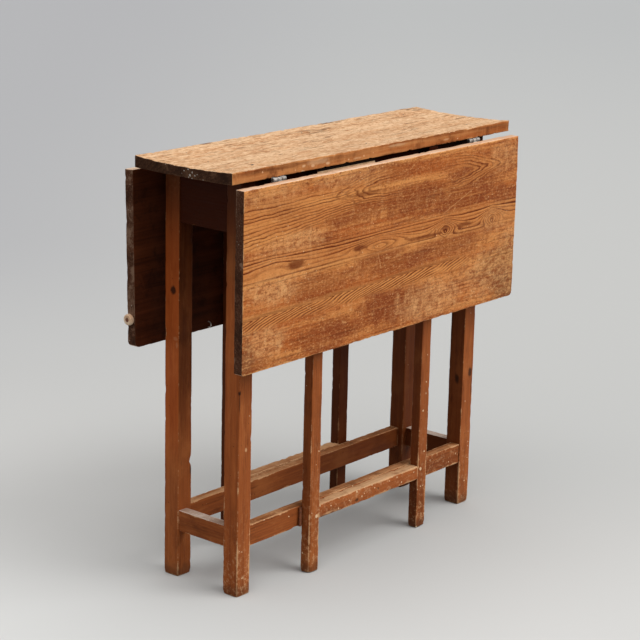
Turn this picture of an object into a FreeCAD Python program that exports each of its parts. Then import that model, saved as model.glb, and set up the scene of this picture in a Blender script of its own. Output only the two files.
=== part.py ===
# Gate-leg drop-leaf table: a narrow fixed top on a four-legged frame, two hanging leaves, two gates.
# Millimetres. +Z is up from the floor, +X runs along the table and -Y is its near long side.
# The far side is the near side turned half a turn about the vertical.
import FreeCAD, Part
import Sketcher
import os
import re

sizes = {
    # fixed top, a board cupped upwards at its long edges
    "table_height": 730,
    "top_length": 750,
    "top_depth": 214,
    "top_thickness": 18,
    "top_cup": 4,
    # frame of legs, stretchers and aprons
    "frame_length": 654,
    "frame_depth": 168,
    "leg_width": 32,
    "face_inset": 2,
    "rail_thickness": 19.5,
    "stretcher_bottom": 83,
    "stretcher_height": 37,
    "apron_height": 89,
    "tenon_thickness": 8,
    "tenon_shoulder": 6,
    "tenon_wall": 1.25,
    "tenon_fit": 0.2,
    # leaves
    "leaf_length": 748,
    "leaf_width": 300,
    "leaf_thickness": 18,
    "leaf_corner": 5,
    "leaf_arris": 2.5,
    "leaf_lean": 1.2,
    "edge_gap": 1.5,
    # leaf hinges: pin below the top's edge, knuckles in thirds
    "hinge_drop": 6,
    "hinge_spread": 265,
    "hinge_width": 32,
    "plate_reach": 30,
    "plate_thickness": 2,
    "barrel_radius": 5,
    "pin_radius": 2.4,
    "pin_play": 0.05,
    "knuckle_gap": 0.35,
    "seat_fit": 0.3,
    # gates, each hung on two butt hinges on the outside of the frame
    "gate_span": 330,
    "post_width": 26,
    "post_depth": 18.5,
    "floor_gap": 1,
    "gate_head_gap": 3,
    "gate_rail_height": 25,
    "gate_rail_thickness": 18,
    "upper_rail_drop": 6,
    "gate_tenon_length": 13,
    "gate_tenon_thickness": 7,
    "gate_tenon_shoulder": 4,
    "peg_radius": 3,
    "peg_inset": 8,
    "peg_stagger": 6,
    "peg_proud": 0.5,
    "gate_hinge_height": 33,
    "gate_hinge_reach": 22,
    "gate_plate": 1.3,
    "gate_plate_play": 0.4,
    "gate_knuckle": 3,
    "gate_pin_radius": 1.5,
    "knuckle_seat": 0.2,
    "knuckle_play": 0.4,
    "upper_hinge_rise": 30,
    # block on the apron above each pivot post
    "block_length": 152,
    "block_height": 24,
    "block_play": 1,
    "block_nail_inset": 20,
    # screws and nails
    "screw_head": 3.2,
    "screw_shank": 1.5,
    "screw_length": 12,
    "screw_spread": 9,
    "screw_set": 20,
    "gate_screw_set": 11,
    "nail_head": 3,
    "nail_head_thickness": 1,
    "nail_shank": 1.3,
    "nail_length": 40,
    "nail_spread": 290,
    # turned knob on the far leaf's end, and a wire staple on its inner face
    "knob_reach": 14,
    "knob_radius": 10.5,
    "knob_rim": 4.5,
    "knob_neck": 6.5,
    "knob_height": 49,
    "knob_bore": 3.4,
    "knob_bore_depth": 4,
    "knob_screw_length": 26,
    "staple_wire": 1,
    "staple_radius": 5,
    "staple_stand": 1.5,
    "staple_depth": 9,
    "staple_rise": 8,
    "staple_place": 197,
    # how far a cutting shape stands past the wood it cuts
    "cutter_margin": 2,
}

derived = {
    "origin_x": "(knob_reach + leaf_length / 2 - top_length / 2) / 2",
    "top_under": "table_height - top_thickness",
    "frame_top": "top_under - top_cup",
    "cup_radius": "(top_depth * top_depth / 4 + top_cup * top_cup) / (2 * top_cup)",
    "apron_bottom": "frame_top - apron_height",
    "stretcher_top": "stretcher_bottom + stretcher_height",
    "rail_back": "face_inset + rail_thickness",
    "rail_middle": "face_inset + rail_thickness / 2",
    "tenon_length": "leg_width - rail_middle - tenon_thickness / 2 - tenon_wall",
    "pin_y": "top_depth / 2",
    "pin_z": "top_under - hinge_drop",
    "plate_face": "hinge_drop - plate_thickness",
    "knuckle": "(hinge_width - 2 * knuckle_gap) / 3",
    "leaf_top": "-edge_gap",
    "leaf_bottom": "-edge_gap - leaf_width",
    "leaf_middle": "-hinge_drop - leaf_thickness / 2",
    "gate_gap": "2 * gate_plate + gate_plate_play",
    "wall": "gate_knuckle + knuckle_seat",
    "post_back": "wall - gate_gap",
    "post_front": "post_back - post_depth",
    "post_side": "gate_knuckle + knuckle_play",
    "gate_end": "post_side + gate_span",
    "gate_axis_x": "gate_span / 2 + post_side",
    "gate_axis_y": "frame_depth / 2 - face_inset + wall",
    "gate_knuckle_height": "(gate_hinge_height - 2 * knuckle_gap) / 3",
    "gate_top": "top_under - gate_head_gap",
    "pivot_top": "frame_top - block_height - block_play",
    "lower_rail_middle": "stretcher_top - gate_rail_height / 2",
    "upper_rail_middle": "pivot_top - upper_rail_drop - gate_rail_height / 2",
    "lower_hinge_middle": "stretcher_bottom + stretcher_height / 2",
    "upper_hinge_middle": "apron_bottom + upper_hinge_rise",
    "block_middle": "frame_top - block_height / 2",
}

turns = {
    "+X": (0, 90, 0),
    "-X": (0, -90, 0),
    "+Y": (0, 0, -90),
    "-Y": (0, 0, 90),
    "+Z": (0, 0, 0),
}


def bind(text):
    # words become cells of the sheet, and derived sizes are written out in full
    def word(match):
        name = match.group()
        if name in sizes:
            return f"dims.{name}"
        if name in derived:
            return f"({bind(derived[name])})"
        return name
    return re.sub(r"[a-z][a-z_]+", word, str(text))


def seat(x, y, z, yaw=0, pitch=0, roll=0):
    place = f"vector({bind(x)}; {bind(y)}; {bind(z)})"
    return f"placement({place}; rotation({bind(yaw)}; {bind(pitch)}; {bind(roll)}))"


def feature(kind, label, frame, at, turn=(0, 0, 0), **lengths):
    obj = doc.addObject(kind, label)
    obj.Label = label
    for name, text in lengths.items():
        obj.setExpression(name, bind(text))
    obj.setExpression("Placement", f"{frames[frame]} * {seat(*at, *turn)}")
    return obj


def block(label, frame, x, y, z):
    # a box from its lowest to its highest corner
    return feature("Part::Box", label, frame, (x[0], y[0], z[0]),
                   Length=f"({x[1]}) - ({x[0]})",
                   Width=f"({y[1]}) - ({y[0]})",
                   Height=f"({z[1]}) - ({z[0]})")


def rod(label, frame, at, way, radius, length):
    return feature("Part::Cylinder", label, frame, at, turns[way], Radius=radius, Height=length)


def fuse(label, shapes):
    obj = doc.addObject("Part::MultiFuse", label)
    obj.Label = label
    obj.Shapes = shapes
    return obj


def carve(label, base, tools):
    obj = doc.addObject("Part::Cut", label)
    obj.Label = label
    obj.Base = base
    obj.Tool = tools[0] if len(tools) == 1 else fuse(f"{label}_cutters", tools)
    return obj


def group(label, shapes):
    obj = doc.addObject("Part::Compound", label)
    obj.Label = label
    obj.Links = shapes
    return obj


def node(obj):
    nodes.append(obj)
    return obj


def screw(label, frame, at, way, plate):
    # countersunk in a plate: at is the middle of the head's flat face
    head = feature("Part::Cone", f"{label}_head", frame, at, turns[way],
                   Radius1="screw_head", Radius2="screw_shank", Height=plate)
    shank = rod(f"{label}_shank", frame, at, way, "screw_shank", f"{plate} + screw_length")
    return fuse(label, [head, shank])


def nail(label, frame, at, way, length):
    # at is the middle of the head's outer face
    head = rod(f"{label}_head", frame, at, way, "nail_head", "nail_head_thickness")
    shank = rod(f"{label}_shank", frame, at, way, "nail_shank", length)
    return fuse(label, [head, shank])


def leg(side):
    frame = f"leg_{side}"
    blank = block(f"{frame}_blank", frame, ("0", "leg_width"), ("0", "leg_width"), ("0", "frame_top"))
    mortises = []
    deep = ("leg_width - tenon_length - tenon_fit", "leg_width")
    wide = ("rail_middle - tenon_thickness / 2 - tenon_fit", "rail_middle + tenon_thickness / 2 + tenon_fit")
    for rail, low, high in (("stretcher", "stretcher_bottom", "stretcher_top"),
                            ("apron", "apron_bottom", "frame_top")):
        tall = (f"{low} + tenon_shoulder - tenon_fit", f"{high} - tenon_shoulder + tenon_fit")
        mortises.append(block(f"{frame}_{rail}_mortise_a", frame, deep, wide, tall))
        mortises.append(block(f"{frame}_{rail}_mortise_b", frame, wide, deep, tall))
    return node(carve(frame, blank, mortises))


def frame_rail(label, side, half_span, low, high):
    # a board between two legs with a tenon at each end, in the frame of its own side
    board = block(f"{label}_board", f"side_{side}", (f"-({half_span})", half_span),
                  ("face_inset", "rail_back"), (low, high))
    tenon = block(f"{label}_tenons", f"side_{side}",
                  (f"-({half_span}) - tenon_length", f"{half_span} + tenon_length"),
                  ("rail_middle - tenon_thickness / 2", "rail_middle + tenon_thickness / 2"),
                  (f"{low} + tenon_shoulder", f"{high} - tenon_shoulder"))
    return fuse(f"{label}_wood", [board, tenon])


def table_top(tools):
    length = "top_length + 2 * cutter_margin"
    start = "-top_length / 2 - cutter_margin"
    blank = block("table_top_blank", "table", ("-top_length / 2", "top_length / 2"),
                  ("-top_depth / 2", "top_depth / 2"), ("frame_top", "table_height"))
    under = rod("table_top_under", "table", (start, "0", "frame_top + cup_radius"), "+X", "cup_radius", length)
    bowed = doc.addObject("Part::Common", "table_top_bowed")
    bowed.Base = blank
    bowed.Tool = under
    hollow = rod("table_top_hollow", "table", (start, "0", "table_height - top_cup + cup_radius"), "+X",
                 "cup_radius", length)
    board = carve("table_top_board", bowed, [hollow])
    return node(carve("table_top", board, tools))


def edges_where(shape, test):
    # names of the edges whose middle point and box pass a test
    return [f"Edge{number}" for number, edge in enumerate(shape.Edges, start=1)
            if test(edge.CenterOfMass, edge.BoundBox)]


def leaf_board(side, tools):
    # hangs from its top edge in the leaf's own frame, whose origin is on the hinge pin
    label = f"leaf_{side}"
    body = doc.addObject("PartDesign::Body", f"{label}_board")
    plane = [part for part in body.Origin.OriginFeatures if part.Role == "XZ_Plane"][0]
    outline = body.newObject("Sketcher::SketchObject", f"{label}_outline")
    outline.AttachmentSupport = [(plane, "")]
    outline.MapMode = "FlatFace"
    outline.setExpression("AttachmentOffset.Base.y", bind("leaf_top"))
    outline.setExpression("AttachmentOffset.Base.z", bind("hinge_drop"))
    half = sizes["leaf_length"] / 2
    width = sizes["leaf_width"]
    corners = [(-half, 0), (half, 0), (half, -width), (-half, -width)]
    points = [FreeCAD.Vector(x, y, 0) for x, y in corners]
    for number in range(4):
        outline.addGeometry(Part.LineSegment(points[number], points[(number + 1) % 4]), False)
    for number in range(4):
        outline.addConstraint(Sketcher.Constraint("Coincident", number, 2, (number + 1) % 4, 1))
    for number in (0, 2):
        outline.addConstraint(Sketcher.Constraint("Horizontal", number))
    for number in (1, 3):
        outline.addConstraint(Sketcher.Constraint("Vertical", number))
    outline.addConstraint(Sketcher.Constraint("Symmetric", 0, 1, 0, 2, -1, 1))
    along = outline.addConstraint(Sketcher.Constraint("DistanceX", 0, 1, 0, 2, 2 * half))
    drop = outline.addConstraint(Sketcher.Constraint("DistanceY", 1, 2, 1, 1, width))
    outline.setExpression(f"Constraints[{along}]", bind("leaf_length"))
    outline.setExpression(f"Constraints[{drop}]", bind("leaf_width"))
    pad = body.newObject("PartDesign::Pad", f"{label}_pad")
    pad.Profile = outline
    pad.setExpression("Length", bind("leaf_thickness"))
    doc.recompute()

    middle = pad.Shape.CenterOfMass
    corner_edges = edges_where(pad.Shape, lambda at, box: box.XLength < 1 and box.ZLength < 1 and at.z < middle.z)
    rounding = body.newObject("PartDesign::Fillet", f"{label}_corners")
    rounding.Base = (pad, corner_edges)
    rounding.setExpression("Radius", bind("leaf_corner"))
    doc.recompute()

    arris_edges = edges_where(rounding.Shape, lambda at, box: box.XLength > half and at.z > middle.z
                              and at.y < middle.y)
    arris = body.newObject("PartDesign::Fillet", f"{label}_arris")
    arris.Base = (rounding, arris_edges)
    arris.setExpression("Radius", bind("leaf_arris"))
    body.setExpression("Placement", frames[label])
    return node(carve(label, body, tools))


def leaf_hinges(side):
    # two butt hinges along one long edge: plates under the top, plates on the leaf, and their pins
    top = f"edge_{side}"
    leaf = f"leaf_{side}"
    made = {name: [] for name in ("top_plates", "top_screws", "leaf_plates", "leaf_screws", "pins", "seats")}
    for end, middle in (("left", "-hinge_spread"), ("right", "hinge_spread")):
        name = f"{side}_{end}"
        low = f"{middle} - hinge_width / 2"
        high = f"{middle} + hinge_width / 2"
        inner_low = f"{low} + knuckle"
        inner_high = f"{high} - knuckle"
        screws = [(f"{middle} - screw_spread", "a"), (f"{middle} + screw_spread", "b")]

        top_screws = [screw(f"top_screw_{name}_{mark}", top, (x, "screw_set", "plate_face"), "+Z",
                            "plate_thickness") for x, mark in screws]
        flat = block(f"top_flat_{name}", top, (low, high), ("0", "plate_reach"), ("plate_face", "hinge_drop"))
        barrels = [rod(f"top_barrel_{name}_a", top, (low, "0", "0"), "+X", "barrel_radius", "knuckle"),
                   rod(f"top_barrel_{name}_b", top, (inner_high, "0", "0"), "+X", "barrel_radius", "knuckle")]
        notch = block(f"top_notch_{name}", top, (inner_low, inner_high), ("0", "barrel_radius + knuckle_gap"),
                      ("-barrel_radius", "hinge_drop"))
        bore = rod(f"top_bore_{name}", top, (low, "0", "0"), "+X", "pin_radius", "hinge_width")
        plate = fuse(f"top_blank_{name}", [flat] + barrels)
        made["top_plates"].append(carve(f"top_plate_{name}", plate, [notch, bore] + top_screws))
        made["top_screws"] += top_screws
        made["seats"].append(block(f"top_seat_{name}", top, (f"{low} - seat_fit", f"{high} + seat_fit"),
                                   ("-cutter_margin", "plate_reach + seat_fit"),
                                   ("hinge_drop - top_cup - cutter_margin", "hinge_drop")))

        leaf_screws = [screw(f"leaf_screw_{name}_{mark}", leaf, (x, "-plate_face", "-screw_set"), "-Y",
                             "plate_thickness") for x, mark in screws]
        flat = block(f"leaf_flat_{name}", leaf, (low, high), ("-hinge_drop", "-plate_face"), ("-plate_reach", "0"))
        barrel = rod(f"leaf_barrel_{name}", leaf, (f"{inner_low} + knuckle_gap", "0", "0"), "+X",
                     "barrel_radius", "knuckle")
        room = ("-barrel_radius - knuckle_gap", "barrel_radius")
        notches = [block(f"leaf_notch_{name}_a", leaf, (low, f"{inner_low} + knuckle_gap"),
                         ("-hinge_drop", "barrel_radius"), room),
                   block(f"leaf_notch_{name}_b", leaf, (f"{inner_high} - knuckle_gap", high),
                         ("-hinge_drop", "barrel_radius"), room)]
        bore = rod(f"leaf_bore_{name}", leaf, (low, "0", "0"), "+X", "pin_radius + pin_play", "hinge_width")
        plate = fuse(f"leaf_blank_{name}", [flat, barrel])
        made["leaf_plates"].append(carve(f"leaf_plate_{name}", plate, notches + [bore] + leaf_screws))
        made["leaf_screws"] += leaf_screws
        made["pins"].append(rod(f"leaf_pin_{name}", top, (low, "0", "0"), "+X", "pin_radius", "hinge_width"))
    node(group(f"top_hinge_plates_{side}", made["top_plates"]))
    node(group(f"top_hinge_screws_{side}", made["top_screws"]))
    node(group(f"leaf_hinge_plates_{side}", made["leaf_plates"]))
    node(group(f"leaf_hinge_screws_{side}", made["leaf_screws"]))
    node(group(f"leaf_hinge_pins_{side}", made["pins"]))
    return made


def gate_hinges(side):
    # two butt hinges on the vertical axis at the pivot post's back corner
    frame = f"gate_{side}"
    made = {name: [] for name in ("frame_plates", "frame_screws", "post_plates", "post_screws", "pins")}
    for level in ("lower", "upper"):
        name = f"{side}_{level}"
        middle = f"{level}_hinge_middle"
        low = f"{middle} - gate_hinge_height / 2"
        high = f"{middle} + gate_hinge_height / 2"
        inner_low = f"{low} + gate_knuckle_height"
        inner_high = f"{high} - gate_knuckle_height"
        screws = [(f"{middle} - screw_spread", "a"), (f"{middle} + screw_spread", "b")]

        frame_screws = [screw(f"frame_screw_{name}_{mark}", frame, ("gate_screw_set", "wall - gate_plate", z),
                              "+Y", "gate_plate") for z, mark in screws]
        flat = block(f"frame_flat_{name}", frame, ("0", "gate_hinge_reach"), ("wall - gate_plate", "wall"),
                     (low, high))
        barrels = [rod(f"frame_barrel_{name}_a", frame, ("0", "0", low), "+Z", "gate_knuckle",
                       "gate_knuckle_height"),
                   rod(f"frame_barrel_{name}_b", frame, ("0", "0", inner_high), "+Z", "gate_knuckle",
                       "gate_knuckle_height")]
        notch = block(f"frame_notch_{name}", frame, ("0", "gate_knuckle + knuckle_gap"),
                      ("-gate_knuckle", "wall"), (inner_low, inner_high))
        bore = rod(f"frame_bore_{name}", frame, ("0", "0", low), "+Z", "gate_pin_radius", "gate_hinge_height")
        plate = fuse(f"frame_blank_{name}", [flat] + barrels)
        made["frame_plates"].append(carve(f"frame_plate_{name}", plate, [notch, bore] + frame_screws))
        made["frame_screws"] += frame_screws

        post_face = "post_back + gate_plate"
        post_screws = [screw(f"post_screw_{name}_{mark}", frame, ("gate_screw_set", post_face, z),
                             "-Y", "gate_plate") for z, mark in screws]
        flat = block(f"post_flat_{name}", frame, ("0", "gate_hinge_reach"), ("post_back", post_face), (low, high))
        barrel = rod(f"post_barrel_{name}", frame, ("0", "0", f"{inner_low} + knuckle_gap"), "+Z",
                     "gate_knuckle", "gate_knuckle_height")
        room = ("0", "gate_knuckle + knuckle_gap")
        notches = [block(f"post_notch_{name}_a", frame, room, ("-gate_knuckle", "wall"),
                         (low, f"{inner_low} + knuckle_gap")),
                   block(f"post_notch_{name}_b", frame, room, ("-gate_knuckle", "wall"),
                         (f"{inner_high} - knuckle_gap", high))]
        bore = rod(f"post_bore_{name}", frame, ("0", "0", low), "+Z", "gate_pin_radius + pin_play",
                   "gate_hinge_height")
        plate = fuse(f"post_blank_{name}", [flat, barrel])
        made["post_plates"].append(carve(f"post_plate_{name}", plate, notches + [bore] + post_screws))
        made["post_screws"] += post_screws
        made["pins"].append(rod(f"gate_pin_{name}", frame, ("0", "0", low), "+Z", "gate_pin_radius",
                                "gate_hinge_height"))
    node(group(f"gate_hinge_frame_plates_{side}", made["frame_plates"]))
    node(group(f"gate_hinge_frame_screws_{side}", made["frame_screws"]))
    node(group(f"gate_hinge_post_plates_{side}", made["post_plates"]))
    node(group(f"gate_hinge_post_screws_{side}", made["post_screws"]))
    node(group(f"gate_hinge_pins_{side}", made["pins"]))
    return made


def gate(side, post_screws):
    # two posts and two rails, tenoned and pegged
    frame = f"gate_{side}"
    pivot_x = ("post_side", "post_side + post_width")
    free_x = ("gate_end - post_width", "gate_end")
    deep = ("post_front", "post_back")
    rail_y = ("post_front", "post_front + gate_rail_thickness")
    rail_mid = "post_front + gate_rail_thickness / 2"
    tenon_y = (f"{rail_mid} - gate_tenon_thickness / 2", f"{rail_mid} + gate_tenon_thickness / 2")
    slot_y = (f"{tenon_y[0]} - tenon_fit", f"{tenon_y[1]} + tenon_fit")
    pegs = []
    mortises = {"pivot": [], "free": []}
    for level in ("lower", "upper"):
        name = f"{side}_{level}"
        middle = f"{level}_rail_middle"
        rail_z = (f"{middle} - gate_rail_height / 2", f"{middle} + gate_rail_height / 2")
        tenon_z = (f"{rail_z[0]} + gate_tenon_shoulder", f"{rail_z[1]} - gate_tenon_shoulder")
        slot_z = (f"{tenon_z[0]} - tenon_fit", f"{tenon_z[1]} + tenon_fit")
        board = block(f"gate_board_{name}", frame, (pivot_x[1], free_x[0]), rail_y, rail_z)
        tenon = block(f"gate_tenons_{name}", frame,
                      (f"{pivot_x[1]} - gate_tenon_length", f"{free_x[0]} + gate_tenon_length"), tenon_y, tenon_z)
        wood = fuse(f"gate_rail_wood_{name}", [board, tenon])
        level_pegs = []
        for post, x, z in (("pivot", f"{pivot_x[1]} - peg_inset", f"{middle} - peg_stagger"),
                           ("free", f"{free_x[0]} + peg_inset", f"{middle} + peg_stagger")):
            level_pegs.append(rod(f"gate_peg_{name}_{post}", frame, (x, "post_front - peg_proud", z), "+Y",
                                  "peg_radius", "post_depth + peg_proud"))
        mortises["pivot"].append(block(f"gate_mortise_{name}_pivot", frame,
                                       (f"{pivot_x[1]} - gate_tenon_length - tenon_fit", pivot_x[1]),
                                       slot_y, slot_z))
        mortises["free"].append(block(f"gate_mortise_{name}_free", frame,
                                      (free_x[0], f"{free_x[0]} + gate_tenon_length + tenon_fit"),
                                      slot_y, slot_z))
        node(carve(f"gate_{level}_rail_{side}", wood, level_pegs))
        pegs += level_pegs
    node(group(f"gate_pegs_{side}", pegs))
    pivot = block(f"gate_pivot_wood_{side}", frame, pivot_x, deep, ("floor_gap", "pivot_top"))
    free = block(f"gate_free_wood_{side}", frame, free_x, deep, ("floor_gap", "gate_top"))
    node(carve(f"gate_pivot_post_{side}", pivot, mortises["pivot"] + [pegs[0], pegs[2]] + post_screws))
    node(carve(f"gate_free_post_{side}", free, mortises["free"] + [pegs[1], pegs[3]]))


def gate_block(side):
    # nailed to the apron over the pivot post, its front in line with the gate
    frame = f"gate_{side}"
    front = "wall - gate_gap - post_depth"
    wood = block(f"gate_block_wood_{side}", frame, ("post_side", "post_side + block_length"), (front, "wall"),
                 ("frame_top - block_height", "frame_top"))
    nails = [nail(f"block_nail_{side}_a", frame, ("post_side + block_nail_inset", front, "block_middle"), "+Y",
                  "nail_length"),
             nail(f"block_nail_{side}_b", frame, ("post_side + block_length - block_nail_inset", front,
                                                  "block_middle"), "+Y", "nail_length")]
    node(carve(f"gate_block_{side}", wood, nails))
    return nails


def top_nails():
    # heads sunk level with the hollow of the top, three along each side and one at each end
    side_y = "frame_depth / 2 - rail_middle"
    end_x = "frame_length / 2 - rail_middle"
    spots = [(x, y) for y in (side_y, f"-({side_y})") for x in ("-nail_spread", "0", "nail_spread")]
    spots += [(end_x, "0"), (f"-({end_x})", "0")]
    nails = []
    for number, (x, y) in enumerate(spots, start=1):
        rise = f"cup_radius - sqrt(cup_radius * cup_radius - ({y}) * ({y}))"
        level = f"table_height - top_cup + {rise} - nail_head_thickness"
        head = rod(f"top_nail_{number}_head", "table", (x, y, level), "+Z", "nail_head", "nail_head_thickness")
        shank = rod(f"top_nail_{number}_shank", "table", (x, y, f"{level} - nail_length"), "+Z", "nail_shank",
                    "nail_length")
        nails.append(fuse(f"top_nail_{number}", [head, shank]))
    return nails


def knob_and_screw():
    # on the end of the far leaf; the leaf's own +X end is the table's -X end
    leaf = "leaf_far"
    y = "leaf_middle"
    z = "leaf_bottom + knob_height"
    end = "leaf_length / 2"
    neck = rod("knob_stem", leaf, (end, y, z), "+X", "knob_neck", "knob_reach - knob_rim")
    disc = rod("knob_disc", leaf, (f"{end} + knob_reach - 2 * knob_rim + knob_rim / 4", y, z), "+X",
               "knob_radius - knob_rim", "2 * knob_rim - knob_rim / 2")
    rim = feature("Part::Torus", "knob_rim", leaf, (f"{end} + knob_reach - knob_rim", y, z), turns["+X"],
                  Radius1="knob_radius - knob_rim", Radius2="knob_rim")
    wood = fuse("knob_wood", [neck, disc, rim])
    floor = f"{end} + knob_reach - knob_rim / 4 - knob_bore_depth"
    sink = rod("knob_sink", leaf, (floor, y, z), "+X", "knob_bore", "knob_bore_depth + knob_rim")
    head = rod("knob_screw_head", leaf, (floor, y, z), "+X", "screw_head", "nail_head_thickness")
    shank = rod("knob_screw_shank", leaf, (f"{floor} - knob_screw_length", y, z), "+X", "screw_shank",
                "knob_screw_length")
    fixing = fuse("knob_screw", [head, shank])
    node(fixing)
    node(carve("knob", wood, [sink, fixing]))
    return fixing


def staple():
    # a bent wire driven into the far leaf's inner face near its lower edge
    leaf = "leaf_far"
    y = "-hinge_drop + staple_stand"
    z = "leaf_bottom + staple_rise"
    crown = feature("Part::Torus", "staple_crown", leaf, ("staple_place", y, z), turns["-X"],
                    Radius1="staple_radius", Radius2="staple_wire")
    crown.Angle3 = 180
    prongs = [rod(f"staple_prong_{mark}", leaf, ("staple_place", y, f"{z} {shift} staple_radius"), "-Y",
                  "staple_wire", "staple_stand + staple_depth") for mark, shift in (("a", "-"), ("b", "+"))]
    return node(fuse("leaf_staple", [crown] + prongs))


doc = FreeCAD.newDocument("gate_leg_table")
dims = doc.addObject("Spreadsheet::Sheet", "dims")
for row, (name, value) in enumerate(sizes.items(), start=1):
    dims.set(f"A{row}", name)
    dims.set(f"B{row}", str(value))
    dims.setAlias(f"B{row}", name)
doc.recompute()

frames = {
    "table": seat("origin_x", "0", "0"),
    "edge_near": seat("origin_x", "-pin_y", "pin_z"),
    "edge_far": seat("origin_x", "pin_y", "pin_z", 180),
    "leaf_near": seat("origin_x", "-pin_y", "pin_z"),
    "leaf_far": seat("origin_x", "pin_y", "pin_z", 180, 0, "leaf_lean"),
    "gate_near": seat("origin_x - gate_axis_x", "-gate_axis_y", "0"),
    "gate_far": seat("origin_x + gate_axis_x", "gate_axis_y", "0", 180),
    "side_near": seat("origin_x", "-frame_depth / 2", "0"),
    "side_far": seat("origin_x", "frame_depth / 2", "0", 180),
    "side_left": seat("origin_x - frame_length / 2", "0", "0", -90),
    "side_right": seat("origin_x + frame_length / 2", "0", "0", 90),
    "leg_near_left": seat("origin_x - frame_length / 2", "-frame_depth / 2", "0"),
    "leg_near_right": seat("origin_x + frame_length / 2", "-frame_depth / 2", "0", 90),
    "leg_far_right": seat("origin_x + frame_length / 2", "frame_depth / 2", "0", 180),
    "leg_far_left": seat("origin_x - frame_length / 2", "frame_depth / 2", "0", -90),
}
nodes = []

for corner in ("near_left", "near_right", "far_left", "far_right"):
    leg(corner)

nails = top_nails()
node(group("top_nails", nails))
nails_by_side = {"far": nails[0:3], "near": nails[3:6], "right": nails[6:7], "left": nails[7:8]}
top_cuts = list(nails)
block_nails = []
long_span = "frame_length / 2 - leg_width"
end_span = "frame_depth / 2 - leg_width"
for side in ("near", "far"):
    hinges = leaf_hinges(side)
    top_cuts += hinges["seats"] + hinges["top_screws"]
    leaf_cuts = list(hinges["leaf_screws"])
    if side == "far":
        leaf_cuts += [knob_and_screw(), staple()]
    leaf_board(side, leaf_cuts)

    gate_set = gate_hinges(side)
    gate(side, gate_set["post_screws"])
    side_nails = gate_block(side)
    block_nails += side_nails
    stretcher = frame_rail(f"stretcher_{side}", side, long_span, "stretcher_bottom", "stretcher_top")
    node(carve(f"stretcher_{side}", stretcher, gate_set["frame_screws"][0:2]))
    apron = frame_rail(f"apron_{side}", side, long_span, "apron_bottom", "frame_top")
    node(carve(f"apron_{side}", apron, gate_set["frame_screws"][2:4] + side_nails + nails_by_side[side]))
for side in ("left", "right"):
    stretcher = frame_rail(f"stretcher_{side}", side, end_span, "stretcher_bottom", "stretcher_top")
    stretcher.Label = f"stretcher_{side}"
    node(stretcher)
    apron = frame_rail(f"apron_{side}", side, end_span, "apron_bottom", "frame_top")
    node(carve(f"apron_{side}", apron, nails_by_side[side]))
node(group("block_nails", block_nails))
table_top(top_cuts)
doc.recompute()

for obj in doc.Objects:
    if "Invalid" in obj.State or "Error" in obj.State:
        raise RuntimeError(f"{obj.Label} failed to build: {obj.State}")
for obj in nodes:
    if obj.Shape.isNull() or not obj.Shape.isValid() or not obj.Shape.Solids:
        raise RuntimeError(f"{obj.Label} has no valid solid")

os.makedirs("parts", exist_ok=True)
for obj in nodes:
    obj.Shape.exportStep(f"parts/{obj.Label}.step")
    print(obj.Label, len(obj.Shape.Solids), "solids", round(obj.Shape.Volume / 1000, 2), "cm3")
print(len(nodes), "nodes")
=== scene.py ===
# Gate-leg drop-leaf table in old pine: worn boards, pegged gates, iron hinges and a turned knob
import math
import bpy
import bmesh
from mathutils import Matrix, Vector, noise


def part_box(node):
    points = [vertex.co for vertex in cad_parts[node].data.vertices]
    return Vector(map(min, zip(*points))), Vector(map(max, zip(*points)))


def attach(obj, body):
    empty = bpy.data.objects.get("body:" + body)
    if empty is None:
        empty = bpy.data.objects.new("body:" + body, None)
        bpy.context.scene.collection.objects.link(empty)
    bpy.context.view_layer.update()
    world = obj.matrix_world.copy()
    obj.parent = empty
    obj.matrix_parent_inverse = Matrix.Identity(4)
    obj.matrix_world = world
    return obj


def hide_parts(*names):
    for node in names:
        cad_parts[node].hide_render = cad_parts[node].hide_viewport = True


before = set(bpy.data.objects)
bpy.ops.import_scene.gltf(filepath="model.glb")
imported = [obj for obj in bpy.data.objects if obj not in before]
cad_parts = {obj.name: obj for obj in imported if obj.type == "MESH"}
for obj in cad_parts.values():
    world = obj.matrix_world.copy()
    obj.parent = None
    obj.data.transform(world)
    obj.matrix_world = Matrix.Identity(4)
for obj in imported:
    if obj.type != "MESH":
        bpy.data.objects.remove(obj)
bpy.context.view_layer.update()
mm = 0.001


def paint(red, green, blue):  # a screen colour, 0 to 255, as a linear colour
    def channel(value):
        value /= 255
        return value / 12.92 if value <= 0.04045 else ((value + 0.055) / 1.055) ** 2.4
    return (channel(red), channel(green), channel(blue), 1.0)


class Wire:  # the output of a shader node; arithmetic on it adds Math nodes
    def __init__(self, socket):
        self.socket = socket
        self.tree = socket.id_data

    def __add__(self, other):
        return calc("ADD", self, other)

    def __radd__(self, other):
        return calc("ADD", other, self)

    def __sub__(self, other):
        return calc("SUBTRACT", self, other)

    def __rsub__(self, other):
        return calc("SUBTRACT", other, self)

    def __mul__(self, other):
        return calc("MULTIPLY", self, other)

    def __rmul__(self, other):
        return calc("MULTIPLY", other, self)

    def __truediv__(self, other):
        return calc("DIVIDE", self, other)

    def __abs__(self):
        return calc("ABSOLUTE", self)


def put(socket, value):  # a number, a colour or a wire
    if isinstance(value, Wire):
        socket.id_data.links.new(value.socket, socket)
    else:
        socket.default_value = value


def addNode(kind, inputs, output=0, **settings):  # in the tree that its inputs come from
    tree = next(value.tree for value in inputs.values() if isinstance(value, Wire))
    node = tree.nodes.new(kind)
    for name, value in settings.items():
        setattr(node, name, value)
    for key, value in inputs.items():
        put(node.inputs[key], value)
    return Wire(node.outputs[output])


def calc(operation, *values, clamp=False):
    return addNode("ShaderNodeMath", dict(enumerate(values)), operation=operation, use_clamp=clamp)


def largest(value, *others):
    for other in others:
        value = calc("MAXIMUM", value, other)
    return value


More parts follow.
